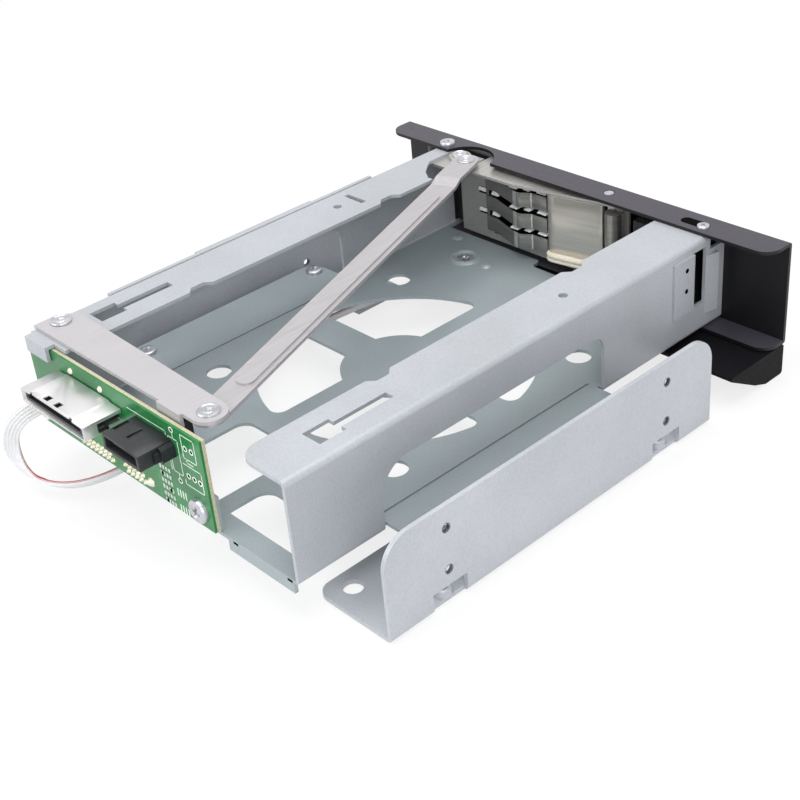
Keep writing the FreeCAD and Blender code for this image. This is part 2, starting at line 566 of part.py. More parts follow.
def make_screws():
    wing = [screw("WingScrew%d%d" % (a, b), side * s.wing_screw_half, y, floor_top, s.screw_reach)
            for a, side in enumerate((-1, 1)) for b, y in enumerate((s.wing_screw_front, s.wing_screw_rear))]
    node(fuse("WingScrews", *wing), "bracket_screws")
    filler = []
    for a, side in enumerate((-1, 1)):
        x, y = side * s.filler_screw_half, s.filler_screw_place
        seat = floor_top - s.flush_head
        filler.append(prism("FlushHead%d" % a, x, y, seat, floor_top, s.screw_head - 0.1, 16))
        filler.append(prism("FlushShank%d" % a, x, y, floor_top - s.screw_reach, seat, s.screw_radius, 8))
    node(fuse("FillerScrews", *filler), "filler_screws")
    bezel = [screw("BezelScrew%d" % a, side * s.bezel_screw_half, s.bezel_screw_place, bezel_top,
                   s.bezel_wall + s.cage_wall + 1) for a, side in enumerate((-1, 1))]
    node(fuse("BezelScrews", *bezel), "bezel_screws")


# Upper bezel: a channel with a door opening, screw holes and a crescent for the link's end.
def make_bezel():
    body = new_body("BezelBody")
    pad(body, "X", -bezel_half, bezel_half, polygon([
        (s.bezel_front, bezel_low), (s.bezel_low_flange, bezel_low), (s.bezel_low_flange, s.cage_bottom),
        (bezel_back, s.cage_bottom), (bezel_back, s.cage_top), (s.bezel_flange, s.cage_top),
        (s.bezel_flange, bezel_top), (s.bezel_front, bezel_top)]))
    round_edges(body, "X", s.bezel_wall * 0.9, [(s.bezel_front, bezel_low), (s.bezel_front, bezel_top)])
    round_edges(body, "Z", s.bezel_radius, [
        (side * bezel_half, y) for side in (-1, 1) for y in (s.bezel_low_flange, s.bezel_flange)])
    pocket(body, "Y", s.bezel_front - 1, bezel_back + 0.3,
           rectangle(-s.opening_right, s.hinge_x + s.barrel_radius + s.barrel_gap, floor_top + 0.2,
                     s.cage_top - 0.4))
    pocket(body, "Z", s.cage_top - 1, bezel_top + 1,
           circle(-s.bezel_hole_place, s.bezel_hole_front, s.bezel_hole_radius))
    pocket(body, "Z", s.cage_top - 1, bezel_top + 1,
           circle(s.crescent_x, s.crescent_y, s.crescent_radius))
    pocket(body, "Z", bezel_low - 1, s.cage_bottom + 1,
           circle(s.hinge_x, s.hinge_y, s.hinge_pin + s.running_gap))
    pocket(body, "Z", s.cage_top - 1, s.cage_top + s.bezel_wall * 0.6,
           circle(s.hinge_x, s.hinge_y, s.hinge_pin + s.running_gap))
    drills = [prism("BezelDrill%d" % a, side * s.bezel_screw_half, s.bezel_screw_place, s.cage_top - 1,
                    bezel_top + 1, s.screw_radius + s.running_gap, 12) for a, side in enumerate((-1, 1))]
    node(cut("BezelDrilled", body, fuse("BezelDrills", *drills)), "front_bezel")


# Filler below the bezel: front wall, deep top plate, short lip at the foot and two end gussets.
def make_filler():
    body = new_body("FillerBody")
    wall = s.bezel_wall
    pad(body, "X", -filler_half, filler_half, polygon([
        (s.bezel_front, 0), (s.filler_lip, 0), (s.filler_lip, wall), (bezel_back, wall),
        (bezel_back, filler_top - wall), (s.filler_depth, filler_top - wall),
        (s.filler_depth, filler_top), (s.bezel_front, filler_top)]))
    for side in (-1, 1):
        low, high = sorted((side * (filler_half - wall), side * filler_half), key=lambda k: k.number)
        pad(body, "X", low, high, polygon([
            (s.bezel_front, 0), (s.filler_lip + 1.7, 0), (s.filler_lip + 7, wall * 2),
            (s.filler_depth, filler_top - wall), (s.filler_depth, filler_top), (s.bezel_front, filler_top)]))
    round_edges(body, "X", wall * 0.9, [(s.bezel_front, 0), (s.bezel_front, filler_top)])
    pocket(body, "Y", s.bezel_front - 1, bezel_back + 1,
           *[circle(s.lamp_first + k * s.lamp_pitch, s.lamp_height, s.lamp_radius + s.running_gap)
             for k in range(2)])
    bosses = []
    drills = []
    for a, side in enumerate((-1, 1)):
        place = (side * s.filler_screw_half, s.filler_screw_place)
        bosses.append(prism("FillerBoss%d" % a, *place, filler_top - 0.5, s.cage_bottom, s.filler_boss, 16))
        drills.append(prism("FillerDrill%d" % a, *place, filler_top - wall - 1, s.cage_bottom + 1,
                            s.screw_radius + s.running_gap, 12))
    node(cut("FillerDrilled", fuse("FillerPlate", body, *bosses), fuse("FillerDrills", *drills)),
         "lower_filler")


# Front door: panel with a hinge barrel along its left edge and a slot for the latch's thumb piece.
def make_door():
    plate = box("DoorPlate", -(s.opening_right - s.opening_gap), s.hinge_x, s.bezel_front, panel_back,
                door_low, door_high)
    barrel = cylinder("Barrel", "Z", s.hinge_x, s.hinge_y, door_low, door_high, s.barrel_radius)
    bore = cylinder("BarrelBore", "Z", s.hinge_x, s.hinge_y, door_low - 1, door_high + 1,
                    s.hinge_pin + s.running_gap)
    slot = box("ThumbSlot", -(s.thumb_right + s.thumb_travel + s.thumb_gap), -(s.thumb_left - s.thumb_gap),
               s.bezel_front - 1, panel_back + 1, s.thumb_low - s.thumb_gap, s.thumb_high + s.thumb_gap)
    node(cut("DoorPanel", fuse("DoorBlank", plate, barrel), fuse("DoorCuts", bore, slot)), "door_panel")
    shaft = cylinder("PinShaft", "Z", s.hinge_x, s.hinge_y, bezel_low, s.cage_top + s.bezel_wall * 0.6,
                     s.hinge_pin)
    low_collar = prism("LowCollar", s.hinge_x, s.hinge_y, s.cage_bottom, door_low - s.end_play,
                       s.collar_radius, 12)
    high_collar = prism("HighCollar", s.hinge_x, s.hinge_y, door_high + s.end_play, s.cage_top,
                        s.collar_radius, 12)
    node(fuse("HingePin", shaft, low_collar, high_collar), "hinge_pin")


# Door frame of bright steel: a folded plate behind the panel with a tapered flange on top.
def make_door_frame():
    body = new_body("FrameBody")
    wall = s.frame_wall
    end_top = plate_low - 0.15
    for right, left, top in ((-s.frame_right, s.frame_left, frame_top), (s.frame_left - 1, s.frame_end, end_top)):
        pad(body, "X", right, left, polygon([
            (panel_back, s.frame_bottom), (s.frame_face + wall, s.frame_bottom), (s.frame_face + wall, top),
            (s.frame_face, top), (s.frame_face, s.frame_bottom + wall),
            (panel_back, s.frame_bottom + wall)]))
    pad(body, "Z", flange_under, frame_top, polygon([
        (-s.flange_right, panel_back), (s.flange_left, panel_back), (s.flange_left, s.flange_rear),
        (s.flange_bend, s.flange_bend_rear), (-s.flange_right, s.flange_rear_right)]))
    # Three slots behind the spring fingers.
    for k in range(3):
        z = s.finger_low + k * s.finger_pitch
        pocket(body, "Y", s.frame_face - 1, s.frame_face + wall + 1,
               rectangle(s.finger_right + 3, s.finger_kink + 4, z + 0.8, z + s.finger_height - 0.8))
    node(body, "door_frame")


# Crank: a short arm on a plate riveted under the left flange, with an open hole for the link's rivet.
def make_crank():
    node(box("HingePlate", s.plate_right, s.plate_left, s.plate_front, s.plate_rear, plate_low, flange_low),
         "hinge_plate")
    body = new_body("CrankBody")
    run_x = s.crank_x - s.pivot_x
    run_y = s.crank_y - s.pivot_y
    reach = Length("sqrt(%s * %s + %s * %s)" % (run_x.text, run_x.text, run_y.text, run_y.text),
                   math.hypot(run_x.number, run_y.number))
    pad(body, "Z", crank_low, crank_top, rectangle(-s.crank_radius, s.crank_radius, 0, reach))
    pad(body, "Z", crank_low, crank_top, circle(0, 0, s.crank_radius))
    pad(body, "Z", crank_low, crank_top, circle(0, reach, s.crank_radius))
    pocket(body, "Z", crank_low - 1, crank_top + 1, circle(0, 0, s.hinge_pin + s.running_gap))
    pocket(body, "Z", crank_low - 1, crank_top + 1, circle(0, reach, s.open_hole))
    turn = math.degrees(math.atan2(-run_x.number, run_y.number))
    body.Placement = FreeCAD.Placement(vector(s.pivot_x.number, s.pivot_y.number, 0),
                                       FreeCAD.Rotation(vector(0, 0, 1), turn))
    node(body, "eject_crank")


# Spring plate: three kinked fingers side by side on one strip, and the bowed spring beside them.
def make_springs():
    face = s.frame_face + s.frame_wall
    body = new_body("FingerBody")
    top = s.finger_low + 2 * s.finger_pitch + s.finger_height
    pad(body, "Z", s.finger_low, top, polygon([
        (s.finger_left, face), (s.finger_left, face + s.finger_wall),
        (s.finger_left - 4, face + s.finger_wall),
        (s.finger_kink + 2, face + s.finger_rise), (s.finger_kink - 1, face + s.finger_rise),
        (s.finger_right, face + 1.6), (s.finger_right, face + 1.1),
        (s.finger_kink - 1, face + s.finger_rise - s.finger_wall),
        (s.finger_kink + 2, face + s.finger_rise - s.finger_wall), (s.finger_left - 4, face)]))
    for k in range(2):
        z = s.finger_low + k * s.finger_pitch + s.finger_height
        pocket(body, "Y", face - 1, face + s.finger_rise + 1,
               rectangle(s.finger_right - 1, s.finger_left - 4, z, z + s.finger_pitch - s.finger_height))
    node(body, "spring_fingers")
    half_chord = (s.bow_left + s.bow_right) / 2
    middle = (s.bow_left - s.bow_right) / 2
    radius = (half_chord * half_chord + s.bow_rise * s.bow_rise) / (2 * s.bow_rise)
    centre = face + s.bow_rise - radius
    outer = cylinder("BowOuter", "Z", middle, centre, s.bow_low, s.bow_high, radius)
    inner = cylinder("BowInner", "Z", middle, centre, s.bow_low - 1, s.bow_high + 1, radius - s.finger_wall)
    keep = box("BowKeep", middle - half_chord - 1, middle + half_chord + 1, face, face + s.bow_rise + 1,
               s.bow_low, s.bow_high)
    node(combine("MultiCommon", "Bow", [cut("BowTube", outer, inner), keep]), "bow_spring")
    disc = cylinder("PadDisc", "Z", middle, centre, s.bow_low - s.pad_height, s.bow_low, radius)
    pad_keep = box("PadKeep", middle - half_chord - 1, middle + half_chord + 1, face,
                   face + s.bow_rise + 1, s.bow_low - s.pad_height, s.bow_low)
    node(combine("MultiCommon", "RubPad", [disc, pad_keep]), "rub_pad")
    sleeve_y = face + s.sleeve_radius
    node(cylinder("Sleeve", "Z", -s.sleeve_x, sleeve_y, s.frame_bottom, flange_under, s.sleeve_radius),
         "latch_sleeve")


# Latch bolt: a block behind the panel with a thumb piece in front and a tongue at its end.
def make_latch():
    back = s.bezel_front + s.door_wall + 0.3
    rear = back + s.latch_depth
    block = box("LatchBlock", -s.latch_end, -s.latch_left, back, rear, s.latch_low, s.latch_high)
    tongue = box("LatchTongue", -s.latch_tip, -(s.latch_tip - 6), s.tongue_front, s.tongue_rear,
                 s.tongue_low, s.tongue_high)
    neck = box("LatchNeck", -(s.latch_tip - 4), -(s.latch_tip - 9), back + 1, s.tongue_rear,
               s.tongue_low, s.tongue_high)
    thumb = box("LatchThumb", -s.thumb_right, -s.thumb_left, s.bezel_front - s.thumb_rise, back + 1,
                s.thumb_low, s.thumb_high)
    node(fuse("LatchBolt", block, neck, tongue, thumb), "latch_bolt")


def rivet(name, x, y, low, high, radius, head):
    return fuse(name, cylinder(name + "Shank", "Z", x, y, low, high, radius),
                prism(name + "Head", x, y, high, high + s.rivet_head_height, head, 16))


# Crank rivet, ejector pivot and the link's two rivets.
def make_rivets():
    plate_hole = cylinder("CrankShank", "Z", s.pivot_x, s.pivot_y, flange_low, link_front_low, s.hinge_pin)
    head = prism("CrankHead", s.pivot_x, s.pivot_y, link_front_low, link_front_low + s.rivet_head_height,
                 s.rivet_head - 0.5, 16)
    node(fuse("CrankRivet", plate_hole, head), "crank_rivet")
    node(rivet("PivotRivet", s.arm_pivot_x, s.arm_pivot_y, flange_low - 0.4, arm_top + 0.1, s.hinge_pin,
               s.rivet_head), "ejector_pivot")
    node(rivet("LinkRearRivet", -s.arm_end_x, s.arm_end_y, link_low - 0.5, arm_top, s.hinge_pin, s.rivet_head),
         "link_rear_rivet")
    node(rivet("LinkFrontRivet", s.crank_x, s.crank_y, crank_low + 0.15, link_front_top, s.hinge_pin,
               s.rivet_head - 0.2), "link_front_rivet")


# Link bar, drawn along its own Y axis from the crank, then turned to meet the ejector arm.
def make_link():
    body = new_body("LinkBody")
    run_x = -(s.arm_end_x + s.crank_x)
    run_y = s.arm_end_y - s.crank_y
    reach = math.hypot(run_x.number, run_y.number)
    reach_text = "sqrt(%s * %s + %s * %s)" % (run_x.text, run_x.text, run_y.text, run_y.text)
    long = Length(reach_text, reach)
    step_end = s.step_start + s.step_run
    pad(body, "X", -s.link_half, s.link_half, polygon([
        (0, link_front_low), (s.step_start, link_front_low), (step_end, link_low), (long, link_low),
        (long, link_top), (step_end + 0.3, link_top), (s.step_start + 0.3, link_front_top),
        (0, link_front_top)]))
    pad(body, "Z", link_front_low, link_front_top, circle(0, 0, s.link_half))
    pad(body, "Z", link_low, link_top, circle(0, long, s.link_half))
    pad(body, "Z", link_top - 0.2, link_top + s.rib_rise,
        rectangle(s.rib_shift - s.rib_half, s.rib_shift + s.rib_half, s.rib_front, long - s.rib_rear))
    round_edges(body, "Z", s.rib_half * 0.9, [
        (s.rib_shift + k * s.rib_half, y) for k in (-1, 1) for y in (s.rib_front, long - s.rib_rear)])
    pocket(body, "Z", link_low - 1, link_front_top + 1, circle(0, 0, s.hinge_pin + s.running_gap),
           circle(0, long, s.hinge_pin + s.running_gap))
    turn = math.degrees(math.atan2(-run_x.number, run_y.number))
    body.Placement = FreeCAD.Placement(vector(s.crank_x.number, s.crank_y.number, 0),
                                       FreeCAD.Rotation(vector(0, 0, 1), turn))
    node(body, "link_bar")


# Ejector arm: a flat bar over the cage's rear with a lug bent down, which its push pad is clipped on.
def make_arm():
    body = new_body("ArmBody")
    pad(body, "Z", arm_low, arm_top, polygon([
        (s.arm_left, s.arm_pivot_y + s.arm_root_half), (-s.arm_end_x, s.arm_end_y + s.arm_half),
        (-s.arm_end_x, s.arm_end_y - s.arm_half), (s.arm_left - 3.4, s.arm_pivot_y - s.arm_root_half),
        (s.arm_left, s.arm_pivot_y - 1)]))
    pad(body, "Z", arm_low, arm_top, circle(-s.arm_end_x, s.arm_end_y, s.arm_half))
    pad(body, "Y", s.lug_rear - s.arm_wall, s.lug_rear,
        rectangle(-s.lug_left, -s.lug_right, s.lug_low, arm_top))
    pocket(body, "Z", arm_low - 1, arm_top + 1,
           circle(s.arm_pivot_x, s.arm_pivot_y, s.hinge_pin + s.running_gap),
           circle(-s.arm_end_x, s.arm_end_y, s.hinge_pin + s.running_gap))
    node(body, "ejector_arm")
    push = s.lug_rear - s.arm_wall
    front = box("PadFront", -s.lug_right, -s.lug_left, push - s.pad_depth, push, s.pad_low, link_low - 0.3)
    foot = box("PadFoot", -s.lug_right, -s.lug_left, push, s.lug_rear, s.pad_low, s.lug_low)
    node(fuse("PushPad", front, foot), "push_pad")


# Backplane board with its connectors, solder pins and screw.
def make_board():
    body = new_body("BoardBody")
    pad(body, "Y", s.cage_rear, board_rear, rectangle(-s.board_right, s.board_left, s.board_low, s.board_high))
    pocket(body, "Y", s.cage_rear - 1, board_rear + 1,
           circle(-s.board_screw_x, s.board_screw_z, s.screw_radius + s.running_gap))
    node(body, "backplane_board")
    head = cylinder("BoardScrewHead", "Y", -s.board_screw_x, s.board_screw_z, board_rear,
                    board_rear + s.screw_head_height, s.screw_head)
    shank = cylinder("BoardScrewShank", "Y", -s.board_screw_x, s.board_screw_z, s.cage_rear - 2.4, board_rear,
                     s.screw_radius)
    node(fuse("BoardScrew", head, shank), "board_screw")
    rear = board_rear + s.power_depth
    shell = cut("PowerShell",
                box("PowerOuter", s.power_right, s.power_left, board_rear, rear, s.power_low, s.power_high),
                box("PowerInner", s.power_right + s.shell_wall, s.power_left - s.shell_wall, board_rear + 2,
                    rear + 1, s.power_low + s.shell_wall, s.power_high - s.shell_wall))
    node(shell, "power_socket_shell")
    middle = (s.power_low + s.power_high) / 2
    node(box("PowerTongue", s.power_right + 2, s.power_left - 2, board_rear + 2, rear - 1.4,
             middle - s.tongue_wall / 2, middle + s.tongue_wall / 2), "power_socket_tongue")
    data_rear = board_rear + s.data_depth
    data_middle = (s.data_low + s.data_high) / 2
    data = cut("DataShell",
               box("DataOuter", -s.data_right, s.data_left, board_rear, data_rear, s.data_low, s.data_high),
               box("DataInner", -s.data_right + 1.1, s.data_left - 1.1, board_rear + 3, data_rear + 1,
                   s.data_low + 1.1, s.data_high - 1.1))
    node(fuse("DataSocket", data,
              box("DataTongue", -s.data_right + 2.6, s.data_left - 2.6, board_rear + 2, data_rear - 1.2,
                  data_middle - s.tongue_wall / 2, data_middle + s.tongue_wall / 2)), "data_socket")
    plug_front = s.cage_rear - s.drive_plug_depth
    plug_right = s.drive_plug_centre - s.drive_plug_half
    plug_left = s.drive_plug_centre + s.drive_plug_half
    block = box("DrivePlugBlock", plug_right, plug_left, plug_front + s.tongue_depth, s.cage_rear,
                s.drive_plug_low, s.drive_plug_high)
    blade = box("DrivePlugBlade", plug_right + 2, plug_left - 2, plug_front, plug_front + s.tongue_depth,
                s.drive_plug_low + 2, s.drive_plug_high - 2)
    node(fuse("DrivePlug", block, blade), "drive_socket")
    pins = []
    for k in range(14):
        x = s.pin_left - k * s.pin_pitch
        pins.append(box("Pin%d" % k, x - s.pin_half, x + s.pin_half, board_rear, board_rear + s.pin_reach,
                        s.pin_low - s.pin_half, s.pin_low + s.pin_half))
    node(fuse("SolderPins", *pins), "solder_pins")


# Indicator board in the filler, its two light guides and the cable's plugs.
def make_lamps():
    wall = s.bezel_wall
    board_back = s.lamp_board_front + s.lamp_board_wall
    node(box("LampBoard", s.lamp_board_right, s.lamp_board_left, s.lamp_board_front, board_back, wall,
             filler_top - wall), "lamp_board")
    guides = [cylinder("Lamp%d" % k, "Y", s.lamp_first + k * s.lamp_pitch, s.lamp_height,
                       s.bezel_front - s.lamp_proud, s.lamp_board_front, s.lamp_radius) for k in range(2)]
    node(fuse("LightGuides", *guides), "light_guides")
    node(box("FrontPlug", s.front_plug_right, s.front_plug_left, board_back, board_back + s.front_plug_depth,
             s.front_plug_low, s.front_plug_high), "front_plug")
    node(box("RearPlug", s.plug_right, s.plug_left, board_rear, board_rear + s.plug_depth, s.plug_low,
             s.plug_high), "rear_plug")


# Cable from the rear plug, round in a loop behind the board and forward under the floor's left side.
def make_cable():
    start_x = (s.plug_left + s.plug_right).number / 2
    start_z = (s.plug_low + s.plug_high).number / 2
    end_x = (s.front_plug_left + s.front_plug_right).number / 2
    end_z = (s.front_plug_low + s.front_plug_high).number / 2
    start_y = (board_rear + s.plug_depth).number
    end_y = (s.lamp_board_front + s.lamp_board_wall + s.front_plug_depth).number
    route = [
        (start_x, start_y, start_z), (start_x, 167.9, start_z), (47.0, 170.6, 15.4), (45.6, 169.8, 7.4),
        (38.6, 167.2, 3.9), (30, 162.6, 4.6), (25, 153.5, 6.0), (26.5, 141, 5.9), (35, 120, 5.2),
        (43.5, 96, 5.8), (45, 70, 5.2), (42.5, 44, 5.6), (end_x, 19.5, end_z), (end_x, end_y, end_z)]
    points = [vector(*place) for place in route]
    edges = []
    at = points[0]
    for before, corner, after in zip(points, points[1:], points[2:]):
        into = corner - before
        away = after - corner
        turn = into.getAngle(away)
        shorter = min(into.Length, away.Length)
        radius = 0.45 * shorter / math.tan(turn / 2)
        inset = 0.45 * shorter
        into.normalize()
        away.normalize()
        first = corner - into * inset
        last = corner + away * inset
        bisector = away - into
        bisector.normalize()
        middle = corner + bisector * (radius / math.cos(turn / 2) - radius)
        edges.append(Part.LineSegment(at, first).toShape())
        edges.append(Part.Arc(first, middle, last).toShape())
        print("cable bend radius %.1f turn %.0f" % (radius, math.degrees(turn)))
        at = last
    edges.append(Part.LineSegment(at, points[-1]).toShape())
    spine = Part.Wire(edges)
    # The section is six-sided, of the ribbon's width across its flats.
    corner_radius = s.cable_radius.number / math.cos(math.pi / 6)
    corners = []
    for k in range(7):
        angle = (k + 0.5) * math.pi / 3
        across = vector(math.cos(angle), 0, math.sin(angle)) * corner_radius
        corners.append(points[0] + across)
    section = Part.makePolygon(corners)
    tube = spine.makePipeShell([section], True, False)
    area = 6 * math.tan(math.pi / 6) * s.cable_radius.number ** 2
    print("cable length %.1f volume ratio %.4f" % (spine.Length, tube.Volume / (area * spine.Length)))
    cable = doc.addObject("Part::Feature", "Cable")
    cable.Shape = tube
    node(cable, "signal_cable")


make_cage()
make_bracket(1, "side_bracket_left")
make_bracket(-1, "side_bracket_right")
make_screws()
make_bezel()
make_filler()
make_door()
make_door_frame()
make_crank()
make_springs()
make_latch()
make_rivets()
make_link()
make_arm()
make_board()
make_lamps()
make_cable()
doc.recompute()

for thing in doc.Objects:
    if "Invalid" in thing.State or "Error" in thing.State:
        raise RuntimeError("failed: %s %s" % (thing.Name, thing.State))
for feature in cuts:
    before = feature.BaseFeature.Shape.Volume
    if before - feature.Shape.Volume < 1e-3:
        raise RuntimeError("cuts nothing: %s in %s" % (feature.Name, feature.getParent().Name))
for thing in parts:
    if thing.Shape.isNull() or not thing.Shape.isValid():
        raise RuntimeError("bad shape: %s" % thing.Label)
    thing.Shape.exportStep("parts/%s.step" % thing.Label)
print("%d nodes" % len(parts))
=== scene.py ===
import math
import bpy
import bmesh
from mathutils import Matrix, Vector


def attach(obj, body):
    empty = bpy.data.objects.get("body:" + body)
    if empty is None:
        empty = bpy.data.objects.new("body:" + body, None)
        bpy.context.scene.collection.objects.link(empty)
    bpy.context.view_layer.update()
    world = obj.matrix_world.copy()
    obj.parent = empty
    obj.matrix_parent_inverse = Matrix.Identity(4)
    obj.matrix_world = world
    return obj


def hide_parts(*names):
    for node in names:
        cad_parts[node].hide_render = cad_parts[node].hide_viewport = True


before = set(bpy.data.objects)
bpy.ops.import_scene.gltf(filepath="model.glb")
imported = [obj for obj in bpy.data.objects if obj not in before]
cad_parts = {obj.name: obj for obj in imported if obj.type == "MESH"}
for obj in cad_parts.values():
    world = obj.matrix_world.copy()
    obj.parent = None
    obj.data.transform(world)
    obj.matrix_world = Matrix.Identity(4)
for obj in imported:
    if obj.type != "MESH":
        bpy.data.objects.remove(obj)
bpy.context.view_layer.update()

mm = 0.001
print("frame loaded:", len(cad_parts), "nodes")


# colour and node helpers
def toLinear(hexText):
    def channel(pair):
        c = int(pair, 16) / 255
        return c / 12.92 if c <= 0.04045 else ((c + 0.055) / 1.055) ** 2.4
    text = hexText.lstrip("#")
    return (channel(text[0:2]), channel(text[2:4]), channel(text[4:6]), 1.0)


def addObject(name, data):
    thing = bpy.data.objects.new(name, data)
    bpy.context.scene.collection.objects.link(thing)
    return thing


def emptyTree(holder):
    holder.use_nodes = True
    holder.node_tree.nodes.clear()
    return holder.node_tree


def addNode(tree, kind, values=None, links=None, **settings):
    node = tree.nodes.new(kind)
    for name, value in settings.items():
        setattr(node, name, value)
    for socket, value in (values or {}).items():
        node.inputs[socket].default_value = value
    for socket, source in (links or {}).items():
        tree.links.new(source, node.inputs[socket])
    return node


def startMaterial(name, colour, roughness, metallic=0.0, ior=1.5):
    material = bpy.data.materials.new(name)
    tree = emptyTree(material)
    output = addNode(tree, "ShaderNodeOutputMaterial")
    shader = addNode(tree, "ShaderNodeBsdfPrincipled", values={"Base Color": toLinear(colour),
                     "Roughness": roughness, "Metallic": metallic, "IOR": ior})
    tree.links.new(shader.outputs[0], output.inputs[0])
    coords = addNode(tree, "ShaderNodeTexCoord").outputs["Object"]
    material.diffuse_color = toLinear(colour)
    return material, tree, shader, coords


# grain is a size in millimetres; the pattern is noise in the object's own coordinates
def grainNoise(tree, coords, grain, detail=3.0, stretch=(1, 1, 1), turn=0.0):
    mapping = addNode(tree, "ShaderNodeMapping", links={"Vector": coords})
    mapping.inputs["Rotation"].default_value = (0, 0, turn)
    mapping.inputs["Scale"].default_value = stretch
    return addNode(tree, "ShaderNodeTexNoise", values={"Scale": 1 / (grain * mm), "Detail": detail},
                   links={"Vector": mapping.outputs[0]}).outputs[0]


def blendColours(tree, factor, low, high, lowPlace=0.35, highPlace=0.65):
    ramp = addNode(tree, "ShaderNodeValToRGB", links={"Fac": factor})
    ramp.color_ramp.elements[0].position = lowPlace
    ramp.color_ramp.elements[0].color = toLinear(low)
    ramp.color_ramp.elements[1].position = highPlace
    ramp.color_ramp.elements[1].color = toLinear(high)
    return ramp.outputs[0]


def spread(tree, factor, low, high):
    return addNode(tree, "ShaderNodeMapRange", values={"From Min": 0.3, "From Max": 0.7, "To Min": low,
                   "To Max": high}, links={"Value": factor}).outputs[0]


# feeds a socket from another socket, or with a constant
def feed(tree, socket, value):
    if isinstance(value, bpy.types.NodeSocket):
        tree.links.new(value, socket)
    else:
        socket.default_value = value


def calculate(tree, operation, *operands):
    node = addNode(tree, "ShaderNodeMath", operation=operation)
    for socket, value in zip(node.inputs, operands):
        feed(tree, socket, value)
    return node.outputs[0]


# inputs 6 and 7 are the mix node's two colours
def mixColours(tree, factor, first, second, kind="MIX"):
    mixed = addNode(tree, "ShaderNodeMix", data_type="RGBA", blend_type=kind)
    for socket, value in ((0, factor), (6, first), (7, second)):
        feed(tree, mixed.inputs[socket], value)
    return mixed.outputs[2]


def addBump(tree, shader, height, strength, depth):
    bump = addNode(tree, "ShaderNodeBump", values={"Strength": strength, "Distance": depth * mm},
                   links={"Height": height})
    tree.links.new(bump.outputs[0], shader.inputs["Normal"])


# finishes: each note says what the real material is and what it gives the eye; grains are in millimetres

# electro-galvanised sheet with a clear fingerprint coat: pale blue-grey, satin, very faint clouding
def galvanisedSheet(name, dull, bright, roughness):
    material, tree, shader, coords = startMaterial(name, bright, roughness, metallic=0.2)
    cloud = grainNoise(tree, coords, 26, detail=3)
    grit = grainNoise(tree, coords, 0.6, detail=2)  # real grit is 0.05 mm, drawn coarser to show
    base = blendColours(tree, cloud, dull, bright, 0.3, 0.7)
    speck = blendColours(tree, grit, "#f3f4f5", "#ffffff", 0.3, 0.6)
    tree.links.new(mixColours(tree, 1.0, base, speck, "MULTIPLY"), shader.inputs["Base Color"])
    tree.links.new(spread(tree, cloud, roughness - 0.04, roughness + 0.05), shader.inputs["Roughness"])
    addBump(tree, shader, grit, 0.08, 0.012)
    return material


# polyester powder coat: near-black with a faint orange-peel skin about 1 mm across; faces that look up are
# mixed towards a lighter grey as a painted top light
def powderCoat(name, deep, worn, roughness, paintedTopLight, specular=0.35):
    material, tree, shader, coords = startMaterial(name, deep, roughness)
    peel = grainNoise(tree, coords, 1.1, detail=2)
    cloud = grainNoise(tree, coords, 30, detail=3)
    normal = addNode(tree, "ShaderNodeNewGeometry").outputs["Normal"]
    up = addNode(tree, "ShaderNodeSeparateXYZ", links={"Vector": normal}).outputs["Z"]
    # painted top light: faces turned up are mixed towards the lighter colour
    coat = mixColours(tree, spread(tree, up, 0.0, 1.0), blendColours(tree, cloud, deep, worn), toLinear(paintedTopLight))
    tree.links.new(coat, shader.inputs["Base Color"])
    tree.links.new(spread(tree, peel, roughness - 0.04, roughness + 0.05), shader.inputs["Roughness"])
    addBump(tree, shader, peel, 0.1, 0.02)
    shader.inputs["Specular IOR Level"].default_value = specular
    return material


# cold-rolled strip, nickel plated: satin, with soft streaks along the rolling direction; the real lines are
# near 0.05 mm wide, drawn coarser to show
def rolledStrip(name, dull, bright, roughness, metallic, turn=0.0):
    material, tree, shader, coords = startMaterial(name, bright, roughness, metallic=metallic)
    streak = grainNoise(tree, coords, 0.5, detail=3, stretch=(1, 0.03, 1), turn=turn)
    cloud = grainNoise(tree, coords, 12, detail=2)
    tree.links.new(blendColours(tree, streak, dull, bright, 0.25, 0.75), shader.inputs["Base Color"])
    tree.links.new(spread(tree, cloud, roughness - 0.04, roughness + 0.06), shader.inputs["Roughness"])
    addBump(tree, shader, streak, 0.1, 0.015)
    return material


# polished spring steel: near mirror, faintly warm, with hardly visible drawing lines, also drawn coarser;
# with painted highlights in bands across the crests (place and half width along x, colour), and a painted
# shade towards one end (from, to, colour)
def polishedStrip(name, dull, bright, roughness, metallic, paintedHighlights=(), shadeEnd=None):
    material, tree, shader, coords = startMaterial(name, bright, roughness, metallic=metallic)
    streak = grainNoise(tree, coords, 0.4, detail=2, stretch=(0.02, 0.02, 1))
    colour = blendColours(tree, streak, dull, bright, 0.3, 0.7)
    along = addNode(tree, "ShaderNodeSeparateXYZ", links={"Vector": coords}).outputs["X"]
    # painted shade: the colour fades to the shade colour towards one end
    if shadeEnd:
        fade = addNode(tree, "ShaderNodeMapRange", links={"Value": along},
                       values={"From Min": shadeEnd[0] * mm, "From Max": shadeEnd[1] * mm}).outputs["Result"]
        colour = mixColours(tree, fade, colour, toLinear(shadeEnd[2]))
    # painted highlights: bright bands at given places along x
    for place, reach, hexText in paintedHighlights:
        highlightBand = calculate(tree, "COMPARE", along, place * mm, reach * mm)
        colour = mixColours(tree, highlightBand, colour, toLinear(hexText))
    tree.links.new(colour, shader.inputs["Base Color"])
    tree.links.new(spread(tree, streak, roughness * 0.9, roughness * 1.15), shader.inputs["Roughness"])
    return material


